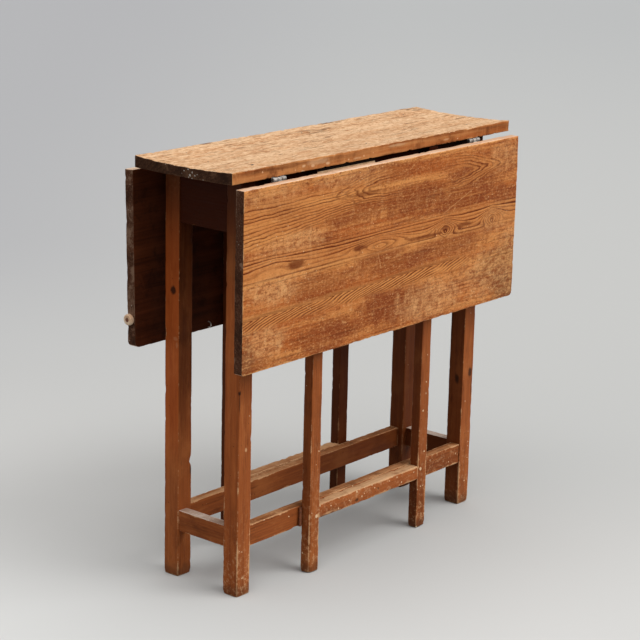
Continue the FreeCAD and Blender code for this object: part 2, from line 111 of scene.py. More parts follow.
def axes(vector):
    return [Wire(output) for output in addNode("ShaderNodeSeparateXYZ", {0: vector}).socket.node.outputs]


def mixColour(factor, first, second, within=True):  # a factor over 1 moves away from the first, if not kept within
    return addNode("ShaderNodeMix", {0: factor, 6: first, 7: second}, 2, data_type="RGBA", clamp_factor=within,
                   clamp_result=not within)


def ramp(value, *stops):  # each stop is a place and a colour or a grey
    made = addNode("ShaderNodeValToRGB", {0: value})
    elements = made.socket.node.color_ramp.elements
    while len(elements) < len(stops):
        elements.new(1.0)
    for element, (spot, colour) in zip(elements, stops):
        element.position = spot
        element.color = colour if isinstance(colour, tuple) else (colour, colour, colour, 1.0)
    return made


def band(value, low, high, first=0.0, second=1.0):  # a smooth step from first to second
    return addNode("ShaderNodeMapRange", dict(enumerate((value, low, high, first, second))),
                   interpolation_type="SMOOTHSTEP")


def stretch(vector, scale, shift=(0, 0, 0)):
    return addNode("ShaderNodeMapping", {"Vector": vector, "Scale": scale, "Location": shift})


def cloud(vector, scale, detail=2.0, roughness=0.5):  # noise, alike in every direction
    return addNode("ShaderNodeTexNoise", {"Vector": vector, "Scale": scale, "Detail": detail,
                                          "Roughness": roughness})


def fibres(grain, along, across, detail=2.0, roughness=0.5):  # noise of one scale along the grain, another across
    return cloud(stretch(grain, (along, across, across)), 1.0, detail, roughness)


def newGroup(name, effect, vector, *numbers):  # the effect makes a dictionary of outputs from the inputs
    group = bpy.data.node_groups.new(name, "ShaderNodeTree")
    group.interface.new_socket(vector, in_out="INPUT", socket_type="NodeSocketVector")
    for label in numbers:
        group.interface.new_socket(label, in_out="INPUT", socket_type="NodeSocketFloat")
    made = effect(*(Wire(socket) for socket in group.nodes.new("NodeGroupInput").outputs if socket.name))
    for label in made:
        group.interface.new_socket(label, in_out="OUTPUT", socket_type="NodeSocketFloat")
    wanted = group.nodes.new("NodeGroupOutput").inputs
    for label, wire in made.items():
        put(wanted[label], wire)
    return group


def place(group, **values):
    made = addNode("ShaderNodeGroup", values, node_tree=group)
    return {output.name: Wire(output) for output in made.socket.node.outputs}


def ringProfile(field, start=0.36, faintest=0.4):  # pale early wood that ends in a dark line, no two alike
    line = ramp(calc("FRACT", field), (0.0, 0.0), (start, 0.04), (start + 0.26, 0.4), (start + 0.4, 1.0),
                (0.93, 0.95), (1.0, 0.0))
    year = addNode("ShaderNodeTexWhiteNoise", {"W": calc("FLOOR", field)}, "Value", noise_dimensions="1D")
    return line * band(year, 0.1, 0.8, faintest, 1.0)


# growth rings and fibres of a sawn board, in the board's own along, across and deep coordinates
def pineEffect(grain, lift, pitch, wander):
    along, across, deep = axes(grain)
    slow = fibres(grain, 1.9, 10, 1.5) - 0.5
    quick = fibres(grain, 16, 110) - 0.5
    field = (across + deep * 0.4) / pitch + slow * wander + quick * 0.7 + lift
    strength = band(fibres(grain, 5, 34, 3), 0.36, 0.62, 0.35, 1.0)
    return {"Latewood": ringProfile(field) * strength, "Fibre": fibres(grain, 16, 560, 4, 0.65),
            "Streak": fibres(grain, 1.6, 44, 4, 0.6)}


# a rise in the ring field that closes the grain into an eye
def eyeEffect(grain, middle, level, length, width, height):
    along, across, deep = axes(grain)
    along = (along - middle) / length
    across = (across - level) / width
    reach = abs(along) + across * across
    return {"Lift": calc("POWER", 2.718, reach * reach * -1.0) * height}


# slanting lines where the saw ran across the rings: chevrons that point along the board
def hatchEffect(grain, level, slope, spacing, flare):
    along, across, deep = axes(grain)
    wobble = fibres(grain, 8, 30) - 0.5
    off = across - (level + along * slope) + wobble * 0.009
    below = largest(off, 0.0) * flare
    above = largest(off * -3.0, 0.0) * flare
    field = (along + (below + above)) / spacing + wobble * 2.2
    inside = band(off, -0.010, -0.001) * band(off, 0.024, 0.013)
    return {"Latewood": ringProfile(field, 0.3, 0.8), "Mask": inside * band(wobble, -0.25, -0.05)}


# small pale chips and paint specks, one to a cell
def fleckEffect(position, cells, share, size):
    wobble = addNode("ShaderNodeTexNoise", {"Vector": position, "Scale": 420}, "Color")
    pushed = addNode("ShaderNodeVectorMath", {0: wobble, 1: (0.004, 0.004, 0.004), 2: position},
                     operation="MULTIPLY_ADD")
    distance = addNode("ShaderNodeTexVoronoi", {"Vector": pushed, "Scale": cells}, "Distance")
    chance = addNode("ShaderNodeSeparateColor", {0: Wire(distance.socket.node.outputs["Color"])})
    radius = size * (Wire(chance.socket.node.outputs[1]) + 0.35)
    return {"Mask": band(radius - distance, 0.0, 0.06) * calc("LESS_THAN", chance, share)}


# rubbed arrises: edge is 1 on an arris and falls off over the face
def rubEffect(position, edge, amount):
    fine = cloud(position, 150, 4, 0.7) - 0.5
    broad = cloud(position, 22, 3) - 0.5
    excess = edge + fine * 1.1 + broad * 1.6 - (1.3 - amount)
    return {"Mask": band(excess, 0.0, 0.3) * band(edge, 0.15, 0.6)}


# a soft-edged patch of wear or stain with a broken outline
def patchEffect(position, x, y, z, wide, deep, tall):
    total = 0.0
    for value, middle, radius in zip(axes(position), (x, y, z), (wide, deep, tall)):
        off = (value - middle) / radius
        total = off * off + total
    rough = cloud(position, 60, 5, 0.7) - 0.5
    return {"Mask": band(calc("SQRT", total) + rough * 1.5, 1.15, 0.45)}


pineFigure = newGroup("pineFigure", pineEffect, "Grain", "Lift", "Pitch", "Wander")
grainEye = newGroup("grainEye", eyeEffect, "Grain", "Along", "Across", "Length", "Width", "Height")
hatchBand = newGroup("hatchBand", hatchEffect, "Grain", "Across", "Slope", "Spacing", "Flare")
paleFlecks = newGroup("paleFlecks", fleckEffect, "Position", "Cells", "Share", "Size")
edgeRub = newGroup("edgeRub", rubEffect, "Position", "Edge", "Amount")
softPatch = newGroup("softPatch", patchEffect, "Position", "X", "Y", "Z", "RadiusX", "RadiusY", "RadiusZ")
print("shared grain and wear effects made")


class Finish:  # a material with its look, in screen colours; base is the colour laid on so far
    def __init__(self, name, look, roughness, gloss):
        self.look = look
        self.base = None
        self.material = bpy.data.materials.new(name)
        self.material.use_nodes = True
        self.tree = self.material.node_tree
        self.shader = self.tree.nodes["Principled BSDF"]
        self.shader.inputs["Roughness"].default_value = roughness
        self.shader.inputs["Specular IOR Level"].default_value = gloss
        self.position = Wire(self.tree.nodes.new("ShaderNodeTexCoord").outputs["Object"])

    def attribute(self, name, kind="Fac"):
        node = self.tree.nodes.new("ShaderNodeAttribute")
        node.attribute_name = name
        return Wire(node.outputs[kind])

    def start(self, factor, first, second):  # from one of the look's colours to another
        self.base = mixColour(factor, paint(*self.look[first]), paint(*self.look[second]))

    def over(self, factor, colour):  # lays one of the look's colours over the base
        self.base = mixColour(factor, self.base, paint(*self.look[colour]))

    def vary(self, value, *rows):  # each row: where it starts, where it is full, its strength and its colour
        for start, full, strength, colour in rows:
            self.over(band(value, start, full, 0.0, strength), colour)

    def rough(self, value):
        put(self.shader.inputs["Roughness"], value)

    def bump(self, height, distance, strength):
        node = self.tree.nodes.new("ShaderNodeBump")
        node.inputs["Strength"].default_value = strength
        node.inputs["Distance"].default_value = distance
        put(node.inputs["Height"], height)
        put(self.shader.inputs["Normal"], Wire(node.outputs[0]))

    def done(self):
        put(self.shader.inputs["Base Color"], self.base)
        return self.material


class WoodFinish(Finish):  # also reads a board's grain coordinates and how close an arris is
    def __init__(self, name, look, roughness, gloss):
        super().__init__(name, look, roughness, gloss)
        self.grain = self.attribute("grain", "Vector")
        self.edge = self.attribute("edge")

    def rubEdges(self, amount, strength, colour):
        rub = place(edgeRub, Position=self.position, Edge=self.edge, Amount=amount)
        self.over(rub["Mask"] * strength, colour)

    def flecks(self, cells, share, size):
        return place(paleFlecks, Position=self.position, Cells=cells, Share=share, Size=size)["Mask"]


def patchMask(where, rows):  # each row: centre, radii and strength
    mask = 0.0
    for x, y, z, wide, deep, tall, strength in rows:
        patch = place(softPatch, Position=where, X=x, Y=y, Z=z, RadiusX=wide, RadiusY=deep, RadiusZ=tall)
        mask = largest(patch["Mask"] * strength, mask)
    return mask


def flat(*rows):  # patches on a leaf: along, across, both radii and strength
    return [(along, across, 0, long, wide, 1, strength) for along, across, long, wide, strength in rows]


# painted shade: the darkest brown is laid under the top, with the strength upper, and on faces inside the frame; the
# bright red is painted light on faces turned to the light
frameLook = {"dark": (82, 38, 15), "deep": (139, 70, 33), "body": (168, 90, 44),
             "light": (194, 117, 64), "rub": (216, 166, 120), "fleck": (238, 208, 166),
             "paintedShadeColour": (60, 19, 2), "paintedLight": (206, 92, 30), "upper": 0.76, "flecks": 1.0,
             "foot": (72, 50, 36), "hole": (34, 15, 8), "pitch": 0.0052, "wander": 2.2, "gloss": 0.08,
             # knots and dark marks: centre, radii and strength
             "marks": [(-0.3205, 0.066, 0.504, 0.006, 0.007, 0.009, 0.9),
                       (-0.3185, -0.083, 0.357, 0.003, 0.003, 0.005, 0.95),
                       (-0.3190, -0.084, 0.335, 0.002, 0.002, 0.022, 0.6),
                       (0.324, -0.084, 0.257, 0.006, 0.004, 0.010, 0.8),
                       (0.3015, -0.071, 0.246, 0.004, 0.006, 0.010, 0.8),
                       (-0.030, -0.1035, 0.102, 0.006, 0.004, 0.004, 0.7),
                       (0.030, -0.1035, 0.108, 0.004, 0.004, 0.003, 0.6),
                       (-0.2885, 0.052, 0.186, 0.004, 0.004, 0.012, 0.8)],
             # splinters and scuffs of newly bared wood
             "splinters": [(-0.103, -0.1035, 0.0965, 0.026, 0.005, 0.005, 0.85),
                           (-0.136, -0.1035, 0.102, 0.004, 0.003, 0.004, 0.9),
                           (-0.3205, 0.060, 0.421, 0.004, 0.006, 0.004, 0.2),
                           (-0.3205, 0.057, 0.411, 0.004, 0.003, 0.006, 0.2),
                           (-0.302, -0.084, 0.256, 0.003, 0.003, 0.004, 0.8)]}
# a darker copy of the frame wood: painted shade for the aprons and the gate blocks' ends, deep under the top
shadeLook = dict(frameLook, dark=(30, 13, 7), deep=(44, 19, 10), body=(56, 25, 13),
                 light=(72, 32, 16), rub=(104, 60, 34), gloss=0.05, flecks=0.0)


def frameFinish(name, look):
    finish = WoodFinish(name, look, 0.5, look["gloss"])
    grain, position = finish.grain, finish.position
    worn = finish.attribute("worn")
    paintedShade = finish.attribute("paintedShade")
    height = axes(position)[2]
    figure = place(pineFigure, Grain=grain, Pitch=look["pitch"], Wander=look["wander"])
    finish.start(band(figure["Streak"], 0.34, 0.66), "deep", "body")
    finish.over(figure["Latewood"] * 0.36, "dark")
    fibre = band(figure["Fibre"], 0.3, 0.75)
    finish.over(fibre * 0.35, "light")
    blotch = cloud(position, 9, 5, 0.6)
    finish.vary(blotch, (0.54, 0.74, 0.5, "dark"), (0.46, 0.28, 0.5, "light"))
    finish.vary(fibres(grain, 13, 75, 5, 0.7), (0.53, 0.7, 0.5, "dark"), (0.46, 0.32, 0.45, "light"))
    # painted shade: darker towards the top, in the top's shadow, and where a board's painted-shade attribute is
    # above 0; below 0 that attribute paints a brighter red, painted light
    finish.vary(height + blotch * 0.1, (0.48, 0.74, look["upper"], "paintedShadeColour"))
    finish.over(paintedShade, "paintedShadeColour")
    finish.over(calc("MULTIPLY", paintedShade, -1.0, clamp=True), "paintedLight")
    # dents and dark specks
    specks = place(paleFlecks, Position=stretch(position, (1, 1, 1), (3.1, 1.7, 0.6)), Cells=170.0,
                   Share=0.06 + worn * 0.25, Size=0.2)["Mask"]
    finish.over(specks * 0.6, "dark")
    finish.over(patchMask(position, look["marks"]), "hole")
    # rubbed arrises and mottled wear, thicker low down and where the board is much used
    lowDown = band(height, 0.4, 0.04, 0.15, 1.0)
    finish.rubEdges(0.22 + (lowDown + worn) * 0.23, band(paintedShade, 0.3, 0.6, 0.85, 0.3), "rub")
    finish.over(patchMask(position, look["splinters"]), "rub")
    mottle = band(cloud(position, 150, 5, 0.75), 0.5, 0.64) * calc("SUBTRACT", worn, abs(paintedShade), clamp=True)
    finish.over(mottle * band(height, 0.1, 0.01, 0.5, 0.9), "rub")
    # dirt at the feet, and pale flecks
    finish.vary(height - cloud(position, 70, 4) * 0.03, (0.012, -0.008, 0.45, "foot"))
    share = (lowDown * 0.11 + worn * 0.15) * band(paintedShade, 0.0, 0.5, 1.0, 0.12)
    finish.over(finish.flecks(140.0, share, 0.2) * look["flecks"], "fleck")
    finish.rough(band(fibre, 0.0, 1.0, 0.42, 0.62))
    finish.bump(figure["Fibre"] * 0.5 + figure["Latewood"] * 0.5 - specks * 0.8, 0.0006, 0.6)
    return finish.done()


framePine = frameFinish("framePine", frameLook)
shadePine = frameFinish("shadePine", shadeLook)

leafLook = {"dark": (96, 45, 18), "line": (124, 62, 27), "core": (126, 62, 27),
            "body": (181, 95, 43), "light": (218, 143, 79),
            "red": (138, 62, 26), "worn": (229, 168, 110), "grey": (118, 86, 58),
            "speck": (234, 192, 144), "middle": (178, 110, 62), "contrast": 1.3,
            "pitch": 0.0066, "wander": 5.0, "joint": 0.1515, "scratch": 0.0008,
            # lines that fan out to the near end: first line, spread at the end, narrowing per metre, least, count
            "fan": {"from": -0.374, "first": 0.028, "spread": 0.062, "narrowing": 0.1, "least": 0.014, "lines": 9.5},
            # long closed figure near the hinge edge: centre, tilt, straight half, spacing along and across, count
            "lens": {"along": 0.09, "across": 0.0395, "tilt": -0.0143, "straight": 0.13, "long": 0.022,
                     "wide": 0.0050, "round": 1.1, "lines": 6.2, "core": (1.5, 2.4), "faint": (0.03, 0.14)},
            # eyes in the grain: along, across, length, width, height in rings; they lie in one row
            "eyes": [(-0.298, 0.133, 0.070, 0.013, 1.3), (-0.028, 0.136, 0.062, 0.012, 3.6),
                     (0.158, 0.138, 0.030, 0.015, 4.6), (0.299, 0.139, 0.028, 0.016, 5.0)],
            "eyeRow": {"across": 0.135, "width": (0.028, 0.014)},
            "cores": flat((-0.246, 0.1375, 0.024, 0.008, 0.75), (-0.082, 0.1370, 0.024, 0.005, 0.75),
                          (0.216, 0.1410, 0.028, 0.005, 0.65), (0.100, 0.1460, 0.060, 0.004, 0.7),
                          (0.158, 0.1400, 0.013, 0.007, 0.6), (0.299, 0.1420, 0.008, 0.004, 0.4),
                          (-0.070, 0.0460, 0.060, 0.005, 0.5)),
            # slanting band, and where it ends
            "hatch": {"Across": 0.204, "Slope": -0.022, "Spacing": 0.0205, "Flare": 4.2}, "hatchEnd": (0.27, 0.17),
            # patches of wear, of redder wood and of grey dirt
            "pale": flat((-0.31, 0.020, 0.11, 0.022, 0.35), (-0.11, 0.014, 0.10, 0.026, 0.5),
                         (-0.32, 0.252, 0.06, 0.034, 0.7), (0.12, 0.262, 0.11, 0.038, 0.75),
                         (-0.25, 0.100, 0.09, 0.022, 0.65), (0.31, 0.140, 0.06, 0.030, 0.45),
                         (0.33, 0.030, 0.05, 0.030, 0.5), (0.30, 0.245, 0.11, 0.050, 0.55),
                         (0.36, 0.200, 0.04, 0.070, 0.45), (-0.30, 0.168, 0.08, 0.030, 0.75),
                         (-0.27, 0.130, 0.10, 0.055, 0.4)),
            "deep": flat((0.067, 0.075, 0.12, 0.034, 0.8), (0.200, 0.092, 0.11, 0.032, 0.8),
                         (-0.190, 0.185, 0.10, 0.028, 0.6), (0.022, 0.255, 0.13, 0.040, 0.95),
                         (0.170, 0.172, 0.13, 0.024, 0.7), (-0.100, 0.075, 0.10, 0.024, 0.65),
                         (-0.150, 0.270, 0.12, 0.028, 0.75), (0.240, 0.060, 0.07, 0.026, 0.65),
                         (0.030, 0.180, 0.14, 0.022, 0.7), (-0.02, 0.160, 0.08, 0.020, 0.85),
                         (-0.350, 0.285, 0.05, 0.022, 0.7), (0.000, 0.020, 0.10, 0.020, 0.55)),
            "greyed": flat((0.352, 0.278, 0.06, 0.035, 0.65), (0.335, 0.238, 0.09, 0.050, 0.4),
                           (-0.362, 0.270, 0.02, 0.040, 0.4)),
            # hairline scratches: along and across of both ends
            "scratches": [(0.146, 0.114, 0.239, 0.079), (-0.034, 0.150, -0.022, 0.185),
                          (0.066, 0.225, 0.080, 0.265), (-0.300, 0.095, -0.294, 0.120)]}


def leafLines(grain, look):
    # the dark lines of the leaf: a fan, a long closed figure, a row of eyes and a slanting band
    along, across, deep = axes(grain)
    bend = fibres(grain, 7, 26) - 0.5
    ripple = fibres(grain, 38, 150) - 0.5
    sway = across + bend * 0.014

    fan = look["fan"]
    width = fan["spread"] - (along - fan["from"]) * fan["narrowing"]
    rank = (sway - fan["first"]) / largest(width, fan["least"])
    fanLines = ringProfile(rank * fan["lines"] + ripple * 0.8, 0.44, 0.35)
    fanMask = band(rank, -0.2, 0.02) * band(rank, 1.3, 1.0) * band(along, -0.06, -0.12)

    lens = look["lens"]
    fromMiddle = abs(along - lens["along"])
    reach = calc("SMOOTH_MAX", fromMiddle - lens["straight"], 0.0, 0.08) / lens["long"]
    rise = (along * lens["tilt"] + sway - lens["across"]) / lens["wide"]
    ring = calc("SQRT", rise * rise + lens["round"] ** 2) + reach
    lensLines = ringProfile(ring + (ripple * 1.3 + bend * 3.2), 0.32, 0.5)
    lensMask = band(ring, lens["lines"] + 1.0, lens["lines"] - 0.6) * band(ring, *lens["core"])
    lensMask = lensMask * band(fromMiddle, *lens["faint"], 0.25, 0.8)

    lift = 0.0
    for middle, height, length, wide, rings in look["eyes"]:
        eye = place(grainEye, Grain=grain, Along=middle, Across=height, Length=length, Width=wide, Height=rings)
        lift = eye["Lift"] + lift
    figure = place(pineFigure, Grain=grain, Lift=lift, Pitch=look["pitch"], Wander=look["wander"])
    eyeMask = band(abs(across - look["eyeRow"]["across"]), *look["eyeRow"]["width"], 0.25, 1.0)
    hatch = place(hatchBand, Grain=grain, **look["hatch"])
    hatchMask = hatch["Mask"] * band(along, *look["hatchEnd"])

    broken = band(fibres(grain, 9, 60, 3), 0.36, 0.52, 0.55, 1.0)
    taken = largest(fanMask, lensMask, hatchMask)
    lines = calc("MULTIPLY", figure["Latewood"], 1.5, clamp=True) * eyeMask * (1.0 - taken)
    lines = largest(lines, fanLines * fanMask * broken, lensLines * lensMask * broken, hatch["Latewood"] * hatchMask)
    # the glue joint: a dark line above a rubbed pale one
    seam = bend * 0.006 + across - look["joint"]
    above = band(seam, -0.0026, -0.0014) * band(seam, 0.0004, -0.0008)
    below = band(seam, -0.0004, 0.0006) * band(seam, 0.0026, 0.0014)
    lines = largest(lines, above * broken * band(along, -0.22, -0.08, 0.7, 0.25))
    return lines, hatchMask * 0.8 + largest(taken, eyeMask), figure, below * broken


def scratchMask(grain, look):
    along, across, deep = axes(grain)
    mask = 0.0
    for startAlong, startAcross, endAlong, endAcross in look["scratches"]:
        fall = (endAlong - startAlong) / (endAcross - startAcross)
        half = look["scratch"] * math.hypot(1, fall)
        run = (across - startAcross) / (endAcross - startAcross)
        off = along - startAlong - (across - startAcross) * fall
        inside = band(run, 0.0, 0.15) * band(run, 1.0, 0.85)
        mask = largest(band(abs(off), half * 1.6, half * 0.4) * inside, mask)
    return mask


def leafFaceFinish(name, look):
    finish = WoodFinish(name, look, 0.55, 0.1)
    grain = finish.grain
    lines, figured, figure, seam = leafLines(grain, look)
    finish.start(band(figure["Streak"], 0.36, 0.64), "body", "light")
    blotch = fibres(grain, 11, 30, 5, 0.7)
    finish.vary(blotch, (0.48, 0.64, 0.8, "red"))
    finish.over(patchMask(grain, look["deep"]), "red")
    # scuffs: pale patches made of strokes across the grain, greyed corners, dust in the pores
    pale = patchMask(grain, look["pale"])
    greyed = patchMask(grain, look["greyed"])
    used = pale + greyed
    brushed = fibres(grain, 120, 20, 4, 0.7)
    strokes = band(brushed, 0.5, 0.64)
    finish.over(pale * (strokes * 0.4 + 0.6), "worn")
    finish.over(greyed, "grey")
    finish.over(strokes * 0.12, "worn")
    finish.vary(brushed, (0.45, 0.34, 0.25, "red"))
    mottle = fibres(grain, 62, 110, 5, 0.75)
    finish.vary(mottle + used * 0.06, (0.55, 0.67, 0.5, "worn"))
    finish.vary(mottle - used * 0.06, (0.46, 0.35, 0.7, "red"))
    finish.vary(fibres(grain, 170, 330, 3, 0.8), (0.54, 0.66, 0.55, "worn"), (0.46, 0.34, 0.6, "dark"))
    finish.vary(fibres(grain, 7, 230, 4, 0.65), (0.54, 0.7, 0.45, "dark"), (0.46, 0.32, 0.4, "light"))
    # dark lines, with pale early wood beside each
    finish.over(calc("MULTIPLY", 1.0 - lines, figured, clamp=True) * 0.58, "light")
    finish.over(patchMask(grain, look["cores"]), "core")
    finish.over(seam * 0.18, "worn")
    finish.over(lines * (0.95 - used * 0.35), "line")
    finish.over(scratchMask(grain, look) * 0.35, "worn")
    finish.rubEdges(0.55, 0.75, "worn")
    finish.over(finish.flecks(150.0, used * 0.35 + 0.08, 0.15) * 0.75, "speck")
    finish.base = mixColour(look["contrast"], paint(*look["middle"]), finish.base, within=False)
    finish.rough(band(blotch, 0.35, 0.65, 0.62, 0.46))
    finish.bump(lines * 0.7 + figure["Fibre"] * 0.5, 0.0008, 0.7)
    return finish.done()


leafFace = leafFaceFinish("leafFace", leafLook)

topLook = {"dark": (132, 82, 46), "body": (206, 154, 109), "light": (226, 184, 143),
           "worn": (236, 200, 160), "crack": (98, 60, 34), "red": (178, 118, 72),
           "pitch": 0.0062, "wander": 4.0,
           "marks": [(-0.283, -0.066, 0.727, 0.004, 0.003, 1, 0.6), (-0.205, 0.103, 0.729, 0.016, 0.004, 1, 0.8),
                     (0.112, 0.102, 0.729, 0.022, 0.005, 1, 0.8), (0.030, 0.080, 0.729, 0.030, 0.005, 1, 0.5)]}


def topFaceFinish(name, look):
    finish = WoodFinish(name, look, 0.7, 0.1)
    grain, position = finish.grain, finish.position
    figure = place(pineFigure, Grain=grain, Pitch=look["pitch"], Wander=look["wander"])
    finish.start(band(figure["Streak"], 0.32, 0.66), "body", "light")
    finish.over(figure["Latewood"] * 0.4, "dark")
    finish.over(band(figure["Fibre"], 0.32, 0.7) * 0.35, "worn")
    finish.vary(cloud(position, 13, 4, 0.6), (0.52, 0.72, 0.32, "red"))
    # dents, hollows and chips
    dents = fibres(grain, 15, 105, 4, 0.65)
    finish.vary(dents, (0.45, 0.31, 0.5, "red"), (0.55, 0.7, 0.6, "worn"))
    finish.vary(fibres(grain, 34, 95, 3, 0.6), (0.44, 0.31, 0.55, "red"), (0.56, 0.7, 0.5, "worn"))
    finish.vary(fibres(grain, 85, 210, 3, 0.7), (0.46, 0.35, 0.85, "red"), (0.53, 0.63, 0.85, "worn"))
    pits = place(paleFlecks, Position=stretch(grain, (0.16, 1, 1)), Cells=100.0, Share=0.4, Size=0.17)["Mask"]
    finish.over(pits * 0.75, "dark")
    dashes = band(fibres(grain, 17, 250, 4, 0.7), 0.57, 0.7)
    finish.over(dashes * 0.55, "dark")
    # long cracks that come and go
    crack = band(abs(fibres(grain, 3.2, 60) - 0.5), 0.012, 0.003) * band(fibres(grain, 9, 20), 0.55, 0.65)
    finish.over(crack * 0.8, "crack")
    finish.over(patchMask(position, look["marks"]), "crack")
    finish.rubEdges(0.4, 0.6, "worn")
    finish.bump(figure["Fibre"] * 0.4 + dents * 1.4 - crack * 0.8 - (dashes + pits) * 0.4, 0.003, 0.9)
    return finish.done()


topFace = topFaceFinish("topFace", topLook)


# plainer finishes of one board face: edges, undersides and worn rail tops
def plainFinish(name, dark, body, light, share=0.1, rings=0.5, fleck=(222, 190, 150), rub=0.4, shadowAbove=None,
                strokes=0.0, chips=()):
    look = {"dark": dark, "light": light, "fleck": fleck, "slabShadow": (20, 10, 6)}
    finish = WoodFinish(name, look, 0.66, 0.07)
    position = finish.position
    figure = place(pineFigure, Grain=finish.grain, Pitch=0.006, Wander=2.5)
    finish.base = ramp(figure["Streak"], (0.3, paint(*dark)), (0.5, paint(*body)), (0.72, paint(*light)))
    finish.over(figure["Latewood"] * rings, "dark")
    finish.over(band(figure["Fibre"], 0.3, 0.75) * 0.3, "light")
    blotch = cloud(position, 34, 5, 0.7)
    finish.vary(blotch, (0.5, 0.7, 0.65, "dark"), (0.46, 0.3, 0.5, "light"))
    finish.rubEdges(rub, 0.7, "light")
    finish.over(finish.flecks(125.0, share, 0.17) * 0.75, "fleck")
    if strokes:  # knocks and scratches across the edge
        knocks = cloud(stretch(position, (130, 130, 12)), 1.0, 3, 0.65)
        finish.vary(knocks, (0.55, 0.68, strokes, "light"), (0.44, 0.32, strokes, "dark"))
    if chips:
        finish.over(patchMask(position, chips), "fleck")
    if shadowAbove:  # painted shadow of the top over the block's upper edge, where the block meets the top
        finish.vary(axes(position)[2], (shadowAbove - 0.0006, shadowAbove + 0.0004, 1.0, "slabShadow"))
    finish.bump(figure["Fibre"] + blotch * 0.6, 0.0006, 0.7)
    return finish.done()


# sawn ends: rings round a pith below the board, dirt and worn specks
def endFinish(name, dark, body, light, pale, cluster=()):
    finish = WoodFinish(name, {"dark": dark, "body": body, "light": light, "pale": pale}, 0.78, 0.06)
    position = finish.position
    along, across, deep = axes(finish.grain)
    deep = deep + 0.06
    across = across * 0.45
    rings = calc("FRACT", calc("SQRT", deep * deep + across * across) / 0.0045 + cloud(position, 60, 3))
    finish.start(rings * 0.6, "body", "dark")
    pores = cloud(position, 420, 3, 0.7)
    finish.vary(pores, (0.5, 0.72, 0.6, "light"))
    worn = cloud(position, 30, 5, 0.65)
    finish.vary(worn, (0.5, 0.36, 0.7, "dark"), (0.54, 0.64, 0.85, "light"))
    scraped = patchMask(position, cluster)
    streaks = cloud(stretch(position, (400, 400, 110)), 1.0, 3, 0.7)
    finish.over(scraped * band(streaks, 0.42, 0.6, 0.2, 0.9), "light")
    share = scraped * 0.6 + band(worn, 0.45, 0.65, 0.0, 0.2)
    finish.over(finish.flecks(220.0, share, 0.32) * 0.8, "pale")
    finish.rubEdges(0.5, 0.6, "light")
    finish.bump(pores + rings * 0.5, 0.0008, 0.7)
    return finish.done()


# chips along the near edge of the top: along, height, both radii and strength
edgeChips = [(along, -0.107, height, long, 0.004, tall, strength) for along, height, long, tall, strength in (
    (-0.136, 0.716, 0.006, 0.003, 0.8), (-0.174, 0.717, 0.005, 0.003, 0.7), (-0.197, 0.719, 0.005, 0.003, 0.8),
    (-0.199, 0.711, 0.006, 0.002, 0.8), (-0.160, 0.722, 0.030, 0.006, 0.4), (-0.060, 0.715, 0.010, 0.002, 0.4),
    (0.050, 0.724, 0.030, 0.003, 0.4), (0.190, 0.717, 0.010, 0.002, 0.4))]
# the leaves' inner faces are painted dark: painted shade where they face the frame
leafInsideShaded = plainFinish("leafInsideShaded", (46, 20, 10), (76, 35, 17), (100, 50, 26), 0.0, 0.35, rub=0.2)
leafEdge = plainFinish("leafEdge", (164, 116, 86), (210, 168, 134), (236, 210, 184), 0.1, 0.35)
topEdge = plainFinish("topEdge", (100, 46, 18), (168, 92, 44), (214, 150, 92), 0.12, 0.75, rub=0.45,
                      strokes=0.15, fleck=(230, 188, 144), chips=edgeChips)
topUnder = plainFinish("topUnder", (36, 17, 9), (64, 34, 18), (88, 52, 30), 0.03, 0.4)
railTop = plainFinish("railTop", (140, 84, 48), (184, 128, 84), (214, 170, 128), 0.22, 0.35, rub=0.6)
brownTop = plainFinish("brownTop", (96, 50, 22), (146, 84, 42), (204, 154, 110), 0.14, 0.3, rub=0.75)
greyTop = plainFinish("greyTop", (140, 104, 84), (176, 146, 126), (216, 198, 184), 0.2, 0.2, rub=0.8,
                      fleck=(232, 222, 212))
palePine = plainFinish("palePine", (190, 140, 98), (228, 188, 146), (244, 218, 184), 0.04, 0.3,
                       shadowAbove=0.7038)
leafEnd = endFinish("leafEnd", (52, 31, 21), (92, 57, 40), (140, 110, 90), (200, 184, 168),
                    [(-0.3675, 0.119, 0.632, 0.02, 0.012, 0.016, 0.45),
                     (-0.3675, 0.116, 0.604, 0.02, 0.012, 0.012, 0.3),
                     (-0.3675, 0.116, 0.498, 0.02, 0.012, 0.010, 0.3),
                     (-0.3675, 0.113, 0.477, 0.02, 0.012, 0.014, 0.7)])
topEnd = endFinish("topEnd", (42, 26, 18), (74, 47, 33), (106, 76, 57), (206, 198, 186),
                   [(-0.3685, -0.016, 0.715, 0.02, 0.020, 0.010, 0.9)])
footEnd = endFinish("footEnd", (40, 32, 26), (66, 52, 42), (96, 78, 62), (150, 130, 108))


ironLook = {"dark": (104, 98, 92), "body": (186, 182, 176), "bright": (228, 224, 218),
            "rust": (104, 70, 50)}
stainedLook = {"dark": (60, 30, 16), "body": (112, 60, 32), "bright": (150, 90, 54),
               "rust": (84, 42, 20)}


def ironFinish(name, look, metal, brightness=1.0):
    finish = Finish(name, look, 0.4, 0.4)
    finish.shader.inputs["Metallic"].default_value = metal
    broad = cloud(finish.position, 140, 5, 0.65)
    fine = cloud(finish.position, 900, 3)
    finish.start(band(broad, 0.35, 0.6, 0.0, brightness), "dark", "body")
    finish.vary(fine, (0.45, 0.62, 0.75 * brightness, "bright"))
    finish.vary(broad, (0.62, 0.76, 0.7, "rust"))
    finish.rough(band(fine, 0.3, 0.7, 0.34, 0.6))
    finish.bump(fine, 0.0002, 0.5)
    return finish.done()


